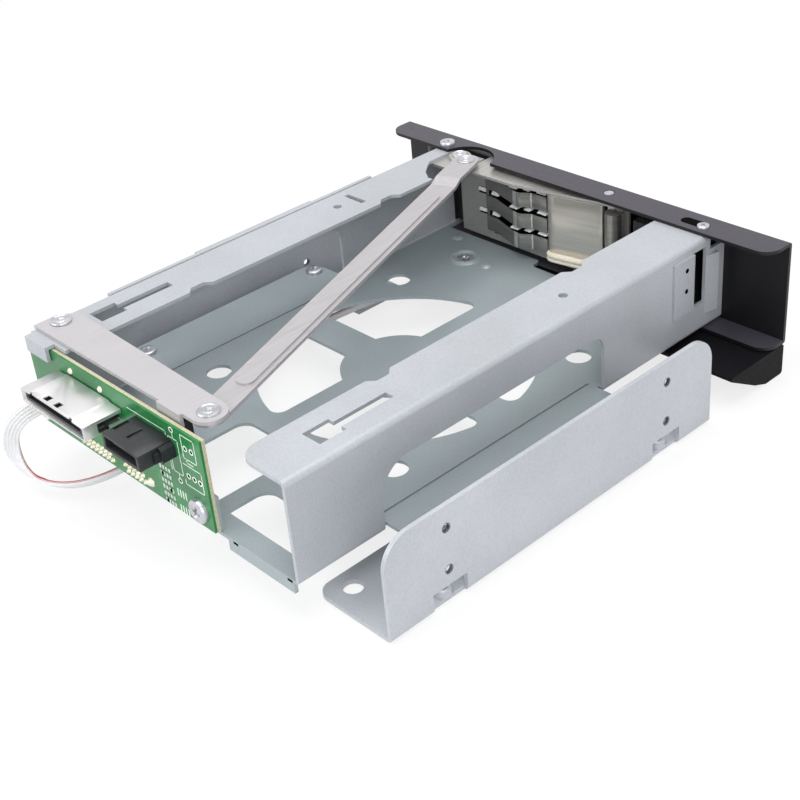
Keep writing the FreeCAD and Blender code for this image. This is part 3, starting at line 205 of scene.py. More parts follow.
# plating on screws, rivets, pads and shells: bright with small dull patches
def zincPlate(name, dull, bright, roughness, grain=1.2, metallic=0.8):
    material, tree, shader, coords = startMaterial(name, bright, roughness, metallic=metallic)
    patch = grainNoise(tree, coords, grain, detail=3)
    tree.links.new(blendColours(tree, patch, dull, bright), shader.inputs["Base Color"])
    tree.links.new(spread(tree, patch, roughness - 0.06, roughness + 0.12), shader.inputs["Roughness"])
    return material


# injection-moulded plastic: matt to satin, with a fine spark-eroded mottling, drawn coarser than the real
# 0.1 mm so that it shows
def mouldedPlastic(name, colour, lighter, roughness, grain=0.5, specular=0.5):
    material, tree, shader, coords = startMaterial(name, colour, roughness)
    shader.inputs["Specular IOR Level"].default_value = specular
    texture = grainNoise(tree, coords, grain, detail=2)
    tree.links.new(blendColours(tree, texture, colour, lighter), shader.inputs["Base Color"])
    addBump(tree, shader, texture, 0.2, 0.02)
    return material


# epoxy board: glossy solder mask on the faces and over the rim behind rimFrom, with copper runs faintly under
# it, and beige glass cloth on the sawn edges
def solderMask(name, deep, light, rimFrom=155.35, runPitch=2.6):
    material, tree, shader, coords = startMaterial(name, deep, 0.3, ior=1.55)
    cloud = grainNoise(tree, coords, 9, detail=2)
    mask = blendColours(tree, cloud, deep, light)
    runs = addNode(tree, "ShaderNodeTexVoronoi", values={"Scale": 1 / (runPitch * mm)},
                   links={"Vector": coords}, distance="MANHATTAN")
    run = blendColours(tree, runs.outputs["Distance"], light, deep, 0.3, 0.36)
    face = mixColours(tree, 0.35, mask, run)
    normal = addNode(tree, "ShaderNodeNewGeometry").outputs["Normal"]
    sideways = calculate(tree, "ABSOLUTE", addNode(
        tree, "ShaderNodeSeparateXYZ", links={"Vector": normal}).outputs["Y"])
    place = addNode(tree, "ShaderNodeSeparateXYZ", links={"Vector": coords}).outputs["Y"]
    onEdge = calculate(tree, "MULTIPLY", calculate(tree, "LESS_THAN", sideways, 0.5),
                       calculate(tree, "LESS_THAN", place, rimFrom * mm))
    cloth = blendColours(tree, grainNoise(tree, coords, 0.5, stretch=(1, 3, 1)), "#b0aa88", "#cbc7aa")
    tree.links.new(mixColours(tree, onEdge, face, cloth), shader.inputs["Base Color"])
    return material


# clear acrylic light guide: glassy, with a slight haze
def clearAcrylic(name):
    material, tree, shader, coords = startMaterial(name, "#f2f6f8", 0.08, ior=1.49)
    shader.inputs["Transmission Weight"].default_value = 0.9
    haze = grainNoise(tree, coords, 1.5, detail=2)
    tree.links.new(spread(tree, haze, 0.04, 0.16), shader.inputs["Roughness"])
    return material


# ribbon cable: soft, slightly translucent vinyl, white on one face, with red and white cores on the other
def ribbonVinyl(name, count=5):
    material, tree, shader, coords = startMaterial(name, "#ececec", 0.42, ior=1.53)
    uv = addNode(tree, "ShaderNodeUVMap", uv_map="UVMap").outputs[0]
    split = addNode(tree, "ShaderNodeSeparateXYZ", links={"Vector": uv})
    core = calculate(tree, "FRACT", calculate(tree, "MULTIPLY", split.outputs["X"], count))
    inner = calculate(tree, "GREATER_THAN", split.outputs["Y"], 0.5)
    white = blendColours(tree, core, "#d3d3d5", "#dcdcde", 0.02, 0.25)
    red = blendColours(tree, core, "#a8323c", "#dcc9c8", 0.4, 0.52)
    tree.links.new(mixColours(tree, inner, white, red), shader.inputs["Base Color"])
    shader.inputs["Subsurface Weight"].default_value = 0.1
    shader.inputs["Subsurface Radius"].default_value = (0.002, 0.002, 0.002)
    shader.inputs["Subsurface Scale"].default_value = 1.0
    return material


# the link bar's direction, from how far it reaches across and along the cage
linkTurn = math.atan2(53.8, 140.1)
finishes = {
    "cageSheet": galvanisedSheet("cageGalvanisedSheet", "#afb2b6", "#b8bbc0", 0.44),
    # the floor's copy of the galvanised sheet is darker and greener: painted shade for the cage's inside
    "floorSheet": galvanisedSheet("floorSheetPaintedShade", "#98a2a5", "#a3adb0", 0.4),
    "bracketSheet": galvanisedSheet("bracketGalvanisedSheet", "#b2b5ba", "#bcbfc4", 0.46),
    # the bezel's and filler's up-facing faces get a painted top light
    "blackCoat": powderCoat("bezelPowderCoat", "#0e0d11", "#131216", 0.42, paintedTopLight="#423f47"),
    "fillerCoat": powderCoat("fillerPowderCoat", "#09080b", "#0d0c0f", 0.55, specular=0.1, paintedTopLight="#121115"),
    "armStrip": rolledStrip("armRolledStrip", "#b3b0b2", "#bebbbe", 0.42, 0.3),
    "linkStrip": rolledStrip("linkRolledStrip", "#a9a5a7", "#bcb9bb", 0.4, 0.4, turn=-linkTurn),
    "frameStrip": rolledStrip("doorFrameStrip", "#aaa7a3", "#c4c1bd", 0.34, 0.6),
    # the fingers get painted highlights on their crests and painted shade towards their root
    "springStrip": polishedStrip("polishedSpringStrip", "#8f8c87", "#a19e98", 0.22, 0.85,
                                 paintedHighlights=[(17.3, 0.9, "#e9e6de"), (11.9, 0.3, "#e4e1da")],
                                 shadeEnd=(19.0, 32.0, "#9b9690")),
    "bowStrip": polishedStrip("polishedBowStrip", "#bab5ac", "#c8c3ba", 0.2, 0.7),
    "zinc": zincPlate("zincPlatedSteel", "#b4b5b9", "#cbccd0", 0.28, grain=3.0),
    "doorAbs": mouldedPlastic("doorMouldedAbs", "#17171a", "#1f1f22", 0.45),
    "latchAbs": mouldedPlastic("latchMouldedAcetal", "#111113", "#19191c", 0.4),
    "padRubber": mouldedPlastic("padRubber", "#17171a", "#222226", 0.75, grain=0.3),
    "creamNylon": mouldedPlastic("creamNylon", "#e3dac9", "#eee6d8", 0.5),
    "plugNylon": mouldedPlastic("plugNylon", "#e4dfd0", "#efeadd", 0.5),
    "socketPbt": mouldedPlastic("socketPbt", "#17181c", "#1f2024", 0.4, grain=0.8),
    "shellTin": zincPlate("tinnedShell", "#d5d3d4", "#dcdadb", 0.34, grain=9.0),
    # near-white finish for the ledges in the spring slots: a painted glint
    "glintWhite": zincPlate("paintedGlintWhite", "#f0f1f3", "#fbfbfc", 0.3, metallic=0.1),
    "padTin": zincPlate("tinnedPads", "#c3d0c4", "#dde6dc", 0.4),
    "solder": zincPlate("solderFillets", "#d2d0b8", "#f0eddb", 0.35),
    "gold": zincPlate("goldFlash", "#c9a24a", "#e3c272", 0.28),
    "mask": solderMask("solderMaskBoard", "#1a6c36", "#2b8849"),
    "silk": mouldedPlastic("silkscreenInk", "#d3e2d4", "#e9f2e8", 0.6),
    "acrylic": clearAcrylic("clearAcrylic"),
    "ribbon": ribbonVinyl("ribbonVinyl"),
    # cut thread steel, darkened further as a painted shade inside the tapped holes
    "shadedThreadSteel": zincPlate("cutThreadSteelPaintedShade", "#5d6064", "#84878b", 0.4),
    # flat near-black: painted shade in holes, slits, slots and the bezel recess, and the resistor bodies' own
    # black
    "darkHole": mouldedPlastic("shadowedRecess", "#060607", "#0a0a0b", 0.95, specular=0.05),
}
nodeFinish = {
    "cage_floor": "floorSheet", "cage_rail_left": "cageSheet", "cage_rail_right": "cageSheet",
    "side_bracket_left": "bracketSheet", "side_bracket_right": "bracketSheet",
    "front_bezel": "blackCoat", "lower_filler": "fillerCoat", "hinge_pin": "zinc",
    "hinge_plate": "frameStrip", "backplane_board": "mask", "power_socket_shell": "shellTin",
    "power_socket_tongue": "socketPbt", "data_socket": "socketPbt", "drive_socket": "socketPbt",
    "lamp_board": "mask", "light_guides": "acrylic", "front_plug": "plugNylon", "rear_plug": "plugNylon",
    "door_panel": "doorAbs", "door_frame": "frameStrip", "spring_fingers": "springStrip",
    "bow_spring": "bowStrip", "rub_pad": "creamNylon", "latch_sleeve": "springStrip",
    "latch_bolt": "latchAbs", "eject_crank": "frameStrip", "ejector_arm": "armStrip",
    "push_pad": "padRubber", "link_bar": "linkStrip",
}
for nodeName, finish in nodeFinish.items():
    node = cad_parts[nodeName]
    node.data.materials.clear()
    node.data.materials.append(finishes[finish])
print("finishes:", len(finishes))

# camera at the photograph's angle: place in millimetres, angles in degrees, focal length in pixels
cameraView = {"place": (-261.6, 296.5, 217.8), "azimuth": 229.69, "elevation": 32.41, "roll": -5.48,
              "focal": 1428.1, "frameSide": 800, "sensor": 36, "clip": (0.01, 20)}
azimuth = math.radians(cameraView["azimuth"])
elevation = math.radians(cameraView["elevation"])
roll = math.radians(cameraView["roll"])
back = Vector((math.sin(azimuth) * math.cos(elevation), -math.cos(azimuth) * math.cos(elevation),
               math.sin(elevation)))
level = (-back).cross(Vector((0, 0, 1))).normalized()
upright = level.cross(-back)
right = level * math.cos(roll) + upright * math.sin(roll)
up = -level * math.sin(roll) + upright * math.cos(roll)
cameraData = bpy.data.cameras.new("photoCamera")
camera = addObject("photoCamera", cameraData)
cameraData.sensor_width = cameraView["sensor"]
cameraData.lens = cameraView["focal"] / cameraView["frameSide"] * cameraView["sensor"]
cameraData.clip_start, cameraData.clip_end = cameraView["clip"]
pose = Matrix((right, up, back)).transposed().to_4x4()
pose.translation = Vector(cameraView["place"]) * mm
camera.matrix_world = pose
bpy.context.scene.camera = camera
print("camera set")


# mesh helpers
def newObject(name, mesh, finish, body):
    piece = addObject(name, mesh)
    if finish:
        mesh.materials.clear()
        mesh.materials.append(finishes[finish])
    if body:
        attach(piece, body)
    return piece


def meshFrom(build, name):
    bm = bmesh.new()
    build(bm)
    bmesh.ops.recalc_face_normals(bm, faces=bm.faces)
    mesh = bpy.data.meshes.new(name)
    bm.to_mesh(mesh)
    bm.free()
    return mesh


# hides the CAD nodes that a piece is drawn in place of
def standsFor(piece, replaced):
    if replaced:
        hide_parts(*replaced)
    return piece


def smoothByAngle(mesh, degrees=35):
    mesh.shade_smooth()
    bm = bmesh.new()
    bm.from_mesh(mesh)
    for edge in bm.edges:
        edge.smooth = len(edge.link_faces) == 2 and edge.calc_face_angle(0) < math.radians(degrees)
    bm.to_mesh(mesh)
    bm.free()


def evaluatedMesh(piece, name):
    graph = bpy.context.evaluated_depsgraph_get()
    mesh = bpy.data.meshes.new_from_object(piece.evaluated_get(graph), depsgraph=graph)
    mesh.name = name
    return mesh


# solids drawn as outlines and pushed along an axis, in millimetres
def rect(left, right, low, high):
    return [(left, low), (right, low), (right, high), (left, high)]


def prism(bm, axis, outline, low, high):
    order = {"X": (2, 0, 1), "Y": (0, 2, 1), "Z": (0, 1, 2)}[axis]

    def corner(point, level):
        triple = (point[0], point[1], level)
        return bm.verts.new([triple[k] * mm for k in order])
    below = [corner(point, low) for point in outline]
    above = [corner(point, high) for point in outline]
    bm.faces.new(below)
    bm.faces.new(list(reversed(above)))
    for k in range(len(outline)):
        n = (k + 1) % len(outline)
        bm.faces.new((below[k], above[k], above[n], below[n]))


def solidsMesh(name, solids):
    def build(bm):
        for solid in solids:
            prism(bm, *solid)
    return meshFrom(build, name)


def cutAway(piece, cutter):
    cut = piece.modifiers.new("holes", "BOOLEAN")
    cut.object = cutter
    cut.operation = "DIFFERENCE"
    cut.solver = "EXACT"
    cut.use_self = True


# solids less holes, with their edges rounded, and further solids set in without cutting
def carved(name, finish, body, solids, holes=(), added=(), edge=0.12, replaced=()):
    base = newObject(name + "Base", solidsMesh(name + "Base", solids), None, None)
    helpers = [base]
    if holes:
        cutter = newObject(name + "Cutter", solidsMesh(name + "Cutter", holes), None, None)
        helpers.append(cutter)
        cutAway(base, cutter)
    soft = base.modifiers.new("edges", "BEVEL")
    soft.width = edge * mm
    soft.segments = 2
    soft.limit_method = "ANGLE"
    soft.angle_limit = math.radians(40)
    mesh = evaluatedMesh(base, name)
    if added:
        bm = bmesh.new()
        bm.from_mesh(mesh)
        bm.from_mesh(solidsMesh(name + "Added", added))
        bm.to_mesh(mesh)
        bm.free()
    for helper in helpers:
        bpy.data.objects.remove(helper)
    smoothByAngle(mesh, 40)
    return standsFor(newObject(name, mesh, finish, body), replaced)


# cable: a flat ribbon that leaves the rear plug, loops below the board and runs under the floor
cable = {"width": 4.4, "thick": 1.3, "cores": 5, "coreSteps": 6, "coreDip": 0.55, "length": 0.2023,
         "start": (0.35, 0, 0.94), "twist": 75.0, "twistFrom": 0.13, "twistTo": 0.27,
         "route": [(44.0, 161.0, 23.0), (44.0, 167.9, 23.0), (47.0, 170.6, 15.4), (45.6, 169.8, 7.4),
                   (38.6, 167.2, 3.9), (30.0, 162.6, 4.6), (25.0, 153.5, 6.0), (26.5, 141.0, 5.9),
                   (35.0, 120.0, 5.2), (43.5, 96.0, 5.8), (45.0, 70.0, 5.2), (42.5, 44.0, 5.6),
                   (36.0, 19.5, 4.8), (36.0, 4.8, 4.8)]}


def makeCable():
    curve = bpy.data.curves.new("cableRoute", "CURVE")
    curve.dimensions = "3D"
    curve.resolution_u = 10
    spline = curve.splines.new("NURBS")
    spline.points.add(len(cable["route"]) - 1)
    for point, place in zip(spline.points, cable["route"]):
        point.co = (place[0] * mm, place[1] * mm, place[2] * mm, 1)
    spline.order_u = 3
    spline.use_endpoint_u = True
    holder = addObject("cableRoute", curve)
    line = [vertex.co.copy() for vertex in evaluatedMesh(holder, "cableLine").vertices]
    bpy.data.objects.remove(holder)
    # rounded cores side by side, carried along the line with one slow twist in the open loop
    half = cable["width"] / 2 * mm
    thick = cable["thick"] / 2 * mm
    count, steps, dip = cable["cores"], cable["coreSteps"], cable["coreDip"]
    section = []
    for faceSide in (1, -1):
        for core in range(count):
            for step in range(steps):
                across = (core + (step + 0.5) / steps) / count
                rise = thick * (dip + (1 - dip) * math.sin(math.pi * (step + 0.5) / steps))
                section.append((faceSide * (across * 2 - 1) * half, faceSide * rise, across, faceSide))
    tangent = (line[1] - line[0]).normalized()
    across = Vector(cable["start"]).normalized()
    bm = bmesh.new()
    layer = bm.loops.layers.uv.new("UVMap")
    rings = []
    for index, place in enumerate(line):
        ahead = line[min(index + 1, len(line) - 1)] - line[max(index - 1, 0)]
        ahead.normalize()
        across = (tangent.rotation_difference(ahead).to_matrix() @ across)
        across = (across - ahead * across.dot(ahead)).normalized()
        tangent = ahead
        share = (index / (len(line) - 1) - cable["twistFrom"]) / (cable["twistTo"] - cable["twistFrom"])
        turned = Matrix.Rotation(math.radians(cable["twist"]) * min(max(share, 0), 1), 3, ahead) @ across
        normal = ahead.cross(turned)
        rings.append([bm.verts.new(place + turned * a + normal * b) for a, b, _, _ in section])
    size = len(section)
    for before, after in zip(rings, rings[1:]):
        for k in range(size):
            n = (k + 1) % size
            face = bm.faces.new((before[k], before[n], after[n], after[k]))
            face.smooth = True
            for loop, which in zip(face.loops, (k, n, n, k)):
                loop[layer].uv = (section[which][2], 0.75 if section[which][3] > 0 else 0.25)
    bm.faces.new(rings[0])
    bm.faces.new(list(reversed(rings[-1])))
    bmesh.ops.recalc_face_normals(bm, faces=bm.faces)
    mesh = bpy.data.meshes.new("signalRibbon")
    bm.to_mesh(mesh)
    bm.free()
    piece = newObject("signalRibbon", mesh, "ribbon", "cage")
    standsFor(piece, ["signal_cable"])
    print("cable made, points on its line:", len(line))


makeCable()


# geometry nodes: one head, or other small form, on each face of a carrier mesh, along its normal
def headsTree(name):
    tree = bpy.data.node_groups.new(name, "GeometryNodeTree")
    sockets = {}
    for label, kind in (("Carrier", "Geometry"), ("Form", "Object"), ("Finish", "Material"),
                        ("Turn Spread", "Float"), ("Size", "Float")):
        sockets[label] = tree.interface.new_socket(label, in_out="INPUT", socket_type="NodeSocket" + kind)
    tree.interface.new_socket("Geometry", in_out="OUTPUT", socket_type="NodeSocketGeometry")
    entry = addNode(tree, "NodeGroupInput")
    # the normal is captured on the faces before they become points
    facing = addNode(tree, "GeometryNodeInputNormal")
    catch = addNode(tree, "GeometryNodeCaptureAttribute", domain="FACE")
    catch.capture_items.new("VECTOR", "Facing")
    feed(tree, catch.inputs[0], entry.outputs["Carrier"])
    feed(tree, catch.inputs[1], facing.outputs[0])
    points = addNode(tree, "GeometryNodeMeshToPoints", mode="FACES", links={0: catch.outputs[0]})
    aligned = addNode(tree, "FunctionNodeAlignEulerToVector", axis="Z", links={"Vector": catch.outputs[1]})
    chance = addNode(tree, "FunctionNodeRandomValue", data_type="FLOAT", values={"Seed": 7},
                     links={3: entry.outputs["Turn Spread"]})
    spun = addNode(tree, "FunctionNodeRotateEuler", rotation_type="AXIS_ANGLE", space="LOCAL",
                   links={"Rotation": aligned.outputs[0], "Angle": chance.outputs[1]})
    shape = addNode(tree, "GeometryNodeObjectInfo", links={"Object": entry.outputs["Form"]})
    placed = addNode(tree, "GeometryNodeInstanceOnPoints", links={
        "Points": points.outputs[0], "Instance": shape.outputs["Geometry"],
        "Rotation": spun.outputs[0], "Scale": entry.outputs["Size"]})
    real = addNode(tree, "GeometryNodeRealizeInstances", links={"Geometry": placed.outputs[0]})
    coated = addNode(tree, "GeometryNodeSetMaterial", links={
        "Geometry": real.outputs[0], "Material": entry.outputs["Finish"]})
    addNode(tree, "NodeGroupOutput", links={"Geometry": coated.outputs[0]})
    return tree, {label: socket.identifier for label, socket in sockets.items()}


# each place gives a point in millimetres and the way the form faces, drawn as a tiny triangle's normal
def scatter(name, places, form, finish, body, turnSpread=0.0, size=1.0, replaced=()):
    reach = 1e-6
    mesh = bpy.data.meshes.new(name + "Points")
    bm = bmesh.new()
    for place, facing in places:
        axis = Vector(facing).normalized()
        side = axis.orthogonal().normalized() * reach
        other = axis.cross(side)
        middle = Vector(place) * mm
        bm.faces.new([bm.verts.new(middle + side), bm.verts.new(middle - side * 0.5 + other),
                      bm.verts.new(middle - side * 0.5 - other)])
    bm.to_mesh(mesh)
    bm.free()
    carrier = newObject(name + "Points", mesh, None, None)
    tree, sockets = headsTree(name + "Tree")
    modifier = carrier.modifiers.new(name, "NODES")
    modifier.node_group = tree
    for label, value in (("Form", form), ("Finish", finishes[finish]), ("Turn Spread", turnSpread),
                         ("Size", size)):
        modifier[sockets[label]] = value
    piece = newObject(name, evaluatedMesh(carrier, name), finish, body)
    bpy.data.objects.remove(carrier)
    return standsFor(piece, replaced)


# forms that get scattered, drawn in millimetres about their own seat
def formFrom(name, build, degrees=30):
    mesh = meshFrom(build, name)
    smoothByAngle(mesh, degrees)
    return bpy.data.objects.new(name, mesh)


def ringOf(bm, radius, height, sides):
    turns = [2 * math.pi * k / sides for k in range(sides)]
    return [bm.verts.new((radius * mm * math.cos(turn), radius * mm * math.sin(turn), height * mm))
            for turn in turns]


# a turned form from pairs of radius and height; a closed profile's double corners are joined
def lathe(name, profile, sides=32):
    def build(bm):
        rings = [ringOf(bm, radius, height, sides) if radius > 0 else [bm.verts.new((0, 0, height * mm))]
                 for radius, height in profile]
        for low, high in zip(rings, rings[1:]):
            for k in range(sides):
                n = (k + 1) % sides
                corners = [low[k % len(low)], low[n % len(low)], high[n % len(high)], high[k % len(high)]]
                unique = list(dict.fromkeys(corners))
                if len(unique) > 2:
                    bm.faces.new(unique)
        bmesh.ops.remove_doubles(bm, verts=bm.verts, dist=1e-7)
    return formFrom(name, build)


# pan head with a cross recess: a round top filled about a cross, which is then sunk
def crossHead(name, radius, height, recess, sides=32):
    def build(bm):
        below = None
        for r, z in ((radius, 0.0), (radius, height * 0.55), (radius * 0.93, height * 0.85),
                     (radius * 0.8, height)):
            ring = ringOf(bm, r, z, sides)
            if below:
                for k in range(sides):
                    bm.faces.new((below[k], below[(k + 1) % sides], ring[(k + 1) % sides], ring[k]))
            else:
                bm.faces.new(list(reversed(ring)))
            below = ring
        # half the width and half the length of the cross
        a = radius * 0.13 * mm
        b = radius * 0.52 * mm
        outline = [(a, b), (-a, b), (-a, a), (-b, a), (-b, -a), (-a, -a), (-a, -b), (a, -b), (a, -a), (b, -a),
                   (b, a), (a, a)]
        cross = [bm.verts.new((x, y, height * mm)) for x, y in outline]
        deep = [bm.verts.new((x * 0.55, y * 0.55, (height - recess) * mm)) for x, y in outline]
        edges = [bm.edges.get((below[k], below[(k + 1) % sides])) for k in range(sides)]
        edges += [bm.edges.new((cross[k], cross[(k + 1) % 12])) for k in range(12)]
        bmesh.ops.triangle_fill(bm, use_beauty=True, use_dissolve=False, edges=edges)
        for k in range(12):
            bm.faces.new((cross[k], cross[(k + 1) % 12], deep[(k + 1) % 12], deep[k]))
        bm.faces.new(deep)
    return formFrom(name, build)


def block(name, size, bevel, seat):
    def build(bm):
        bmesh.ops.create_cube(bm, size=1.0)
        bmesh.ops.scale(bm, vec=[v * mm for v in size], verts=bm.verts)
        bmesh.ops.translate(bm, vec=(0, 0, (size[2] / 2 + seat) * mm), verts=bm.verts)
        bmesh.ops.bevel(bm, geom=bm.edges[:] + bm.verts[:], offset=bevel * mm, segments=2, affect="EDGES",
                        profile=0.5)
    return formFrom(name, build, 40)


# one scattered piece per row, from a turned form: its name, profile and sides, the finish and the places
def scatterTurned(rows):
    for name, (form, profile, sides, finish, places) in rows.items():
        scatter(name, places, lathe(form, profile, sides), finish, "cage")


upwards, rearwards = (0, 0, 1), (0, 1, 0)

# screw heads, each turned at random; makeScrews gives their places, facing, form, size and what is replaced
screws = {"radius": 2.65, "height": 1.15, "recess": 0.75, "flushHeight": 0.5, "flushRecess": 0.4, "turn": 6.0,
          "bracket": [(side * 61.7, y, 12.0) for side in (-1, 1) for y in (52.6, 116.5)],
          "bezel": [(49.8, 2.3, 41.0)], "smallBezel": [(-49.8, 2.3, 41.0)],
          "floor": [(side * 30.6, 16.1, 11.45) for side in (-1, 1)],
          "board": [(-18.8, 156.0, 17.0)], "boardSize": 1.25, "bezelSize": 0.92, "smallSize": 0.66}


def makeScrews():
    head = crossHead("panHead", screws["radius"], screws["height"], screws["recess"])
    flush = crossHead("flushHead", screws["radius"], screws["flushHeight"], screws["flushRecess"])
    for name, places, facing, form, size, replaced in (
            ("bracketScrewHeads", screws["bracket"], upwards, head, 1.0, ["bracket_screws"]),
            ("bezelScrewHead", screws["bezel"], upwards, head, screws["bezelSize"], ["bezel_screws"]),
            ("smallBezelScrewHead", screws["smallBezel"], upwards, head, screws["smallSize"], []),
            ("floorScrewHeads", screws["floor"], upwards, flush, 1.0, ["filler_screws"]),
            ("boardScrewHead", screws["board"], rearwards, head, screws["boardSize"], ["board_screw"])):
        scatter(name, [(place, facing) for place in places], form, "zinc", "cage", screws["turn"],
                size=size, replaced=replaced)
    print("screw heads made")


makeScrews()

# rivet heads: body, place, share of the form's width, size, and what is replaced
rivets = {"profile": [(0, -1.4), (1.45, -1.4), (1.45, 0), (2.95, 0), (2.95, 0.28), (2.75, 0.5), (2.45, 0.55),
                      (2.2, 0.38), (1.5, 0.36), (1.3, 0.52), (0.95, 0.55), (0.6, 0.2), (0, 0.08)],
          "heads": {"crankRivetHead": ("cage", (41.9, 4.8, 40.1), 0.84, 1.0, "crank_rivet"),
                    "pivotRivetHead": ("cage", (48.3, 147.4, 41.15), 1.0, 1.0, "ejector_pivot"),
                    "linkRearRivetHead": ("ejector", (-18.1, 148.4, 41.05), 1.0, 1.0, "link_rear_rivet"),
                    "linkFrontRivetHead": ("link", (35.7, 8.3, 41.1), 1.0, 0.95, "link_front_rivet")}}


def makeRivets():
    for name, (body, place, share, size, replaced) in rivets["heads"].items():
        form = lathe(name + "Form", [(radius * share, height) for radius, height in rivets["profile"]])
        scatter(name, [(place, upwards)], form, "zinc", body, size=size, replaced=[replaced])
    print("rivet heads made")


makeRivets()

# what is on the backplane board's rear face, y = 156 mm
board = {
    "rear": 156.0, "sunk": 0.02, "jointPitch": 1.9, "jointGroups": [(33.6, 8), (13.0, 5)],
    "jointRows": [(15.9, 0.0), (14.3, 0.95)],
    "joint": [(0.78, -0.02), (0.72, 0.14), (0.46, 0.5), (0.24, 0.86), (0.0, 0.95)],
    "blob": [(1.35, -0.02), (1.25, 0.2), (0.8, 0.7), (0.35, 1.15), (0.0, 1.2)],
    "hole": [(0.85, -0.02), (0.82, 0.07), (0.55, 0.08), (0.5, 0.0), (0.0, 0.0)],
    # near-black disc laid in each plated hole as painted shade
    "core": [(0.5, 0.0), (0.48, 0.03), (0.0, 0.03)],
    "lug": [(0.95, -0.02), (0.9, 0.18), (0.55, 0.55), (0.0, 0.7)],
    "blobs": [(40.2, 15.6), (2.0, 15.4)], "lugs": [(31.8, 36.2), (18.1, 36.2), (49.6, 15.4)],
    "holes": [(-17.2, 34.0), (-19.7, 34.1), (-16.6, 25.9), (-18.9, 25.9), (-21.2, 25.9), (-12.4, 22.6),
              (-12.4, 37.3)],
    "pads": [(x, 13.3 + 2.05 * k) for x in (-4.9, -7.4) for k in range(6)],
    "padParts": [(-1.0, -0.22), (0.22, 1.0)], "padHalf": 0.62, "padRise": 0.16,
    "bodyHalves": (0.34, 0.42), "bodyRise": 0.34, "bodyEvery": 4,
    "bars": [(-10.2 - 1.1 * k, z) for k in range(4) for z in (18.3, 13.4)], "barHalves": (0.22, 1.15),
    "lineWidth": 0.24, "inkRise": 0.03,
    "lines": [[(6.3, 35.8), (-9.6, 35.8), (-9.6, 24.8)],
              [(-10.4, 34.9), (-14.2, 34.9), (-14.2, 24.8), (-10.4, 24.8), (-10.4, 34.9)],
              [(-16.0, 37.6), (-21.2, 37.6), (-21.2, 31.0), (-16.0, 31.0), (-16.0, 37.6)],
              [(-15.2, 29.0), (-22.2, 29.0), (-22.2, 22.9), (-14.9, 22.9), (-14.9, 24.2)],
              [(-12.6, 36.4), (-12.6, 34.9)], [(-12.4, 24.8), (-12.4, 23.4)],
              [(-17.0, 31.0), (-17.0, 29.9), (-19.4, 29.9)]]}


# a flat plate on the rear face, sunk a little into it
def boardPlate(left, right, low, high, rise):
    return ("Y", rect(left, right, low, high), board["rear"] - board["sunk"], board["rear"] + rise)


def onBoard(places):
    return [((x, board["rear"], z), rearwards) for x, z in places]


def makeBoardDetail():
    joints = [(start - k * board["jointPitch"] - shift, z) for start, count in board["jointGroups"]
              for k in range(count) for z, shift in board["jointRows"]]
    scatter("solderJoints", onBoard(joints), lathe("solderJoint", board["joint"], sides=14), "solder", "cage",
            replaced=["solder_pins"])
    scatterTurned({
        "solderBlobs": ("solderBlob", board["blob"], 20, "solder", onBoard(board["blobs"])),
        "platedHoles": ("platedHole", board["hole"], 18, "silk", onBoard(board["holes"])),
        # painted shade: near-black discs in the plated holes
        "holeCores": ("holeCore", board["core"], 16, "darkHole", onBoard(board["holes"])),
        "shellLugs": ("shellLug", board["lug"], 18, "solder", onBoard(board["lugs"]))})
    half = board["padHalf"]
    solids = [boardPlate(x + left, x + right, z - half, z + half, board["padRise"])
              for x, z in board["pads"] for left, right in board["padParts"]]
    carved("resistorPads", "padTin", "cage", solids, edge=0.04)
    wide, tall = board["bodyHalves"]
    bodies = [boardPlate(x - wide, x + wide, z - tall, z + tall, board["bodyRise"])
              for x, z in board["pads"][::board["bodyEvery"]]]
    carved("resistorBodies", "darkHole", "cage", bodies, edge=0.05)
    half, rise = board["lineWidth"] / 2, board["inkRise"]
    strokes = [ends for line in board["lines"] for ends in zip(line, line[1:])]
    ink = [boardPlate(min(a[0], b[0]) - half, max(a[0], b[0]) + half, min(a[1], b[1]) - half,
                      max(a[1], b[1]) + half, rise) for a, b in strokes]
    wide, tall = board["barHalves"]
    ink += [boardPlate(x - wide, x + wide, z - tall, z + tall, rise) for x, z in board["bars"]]
    newObject("silkscreenLines", solidsMesh("silkscreenLines", ink), "silk", "cage")
    print("board detail made")


makeBoardDetail()

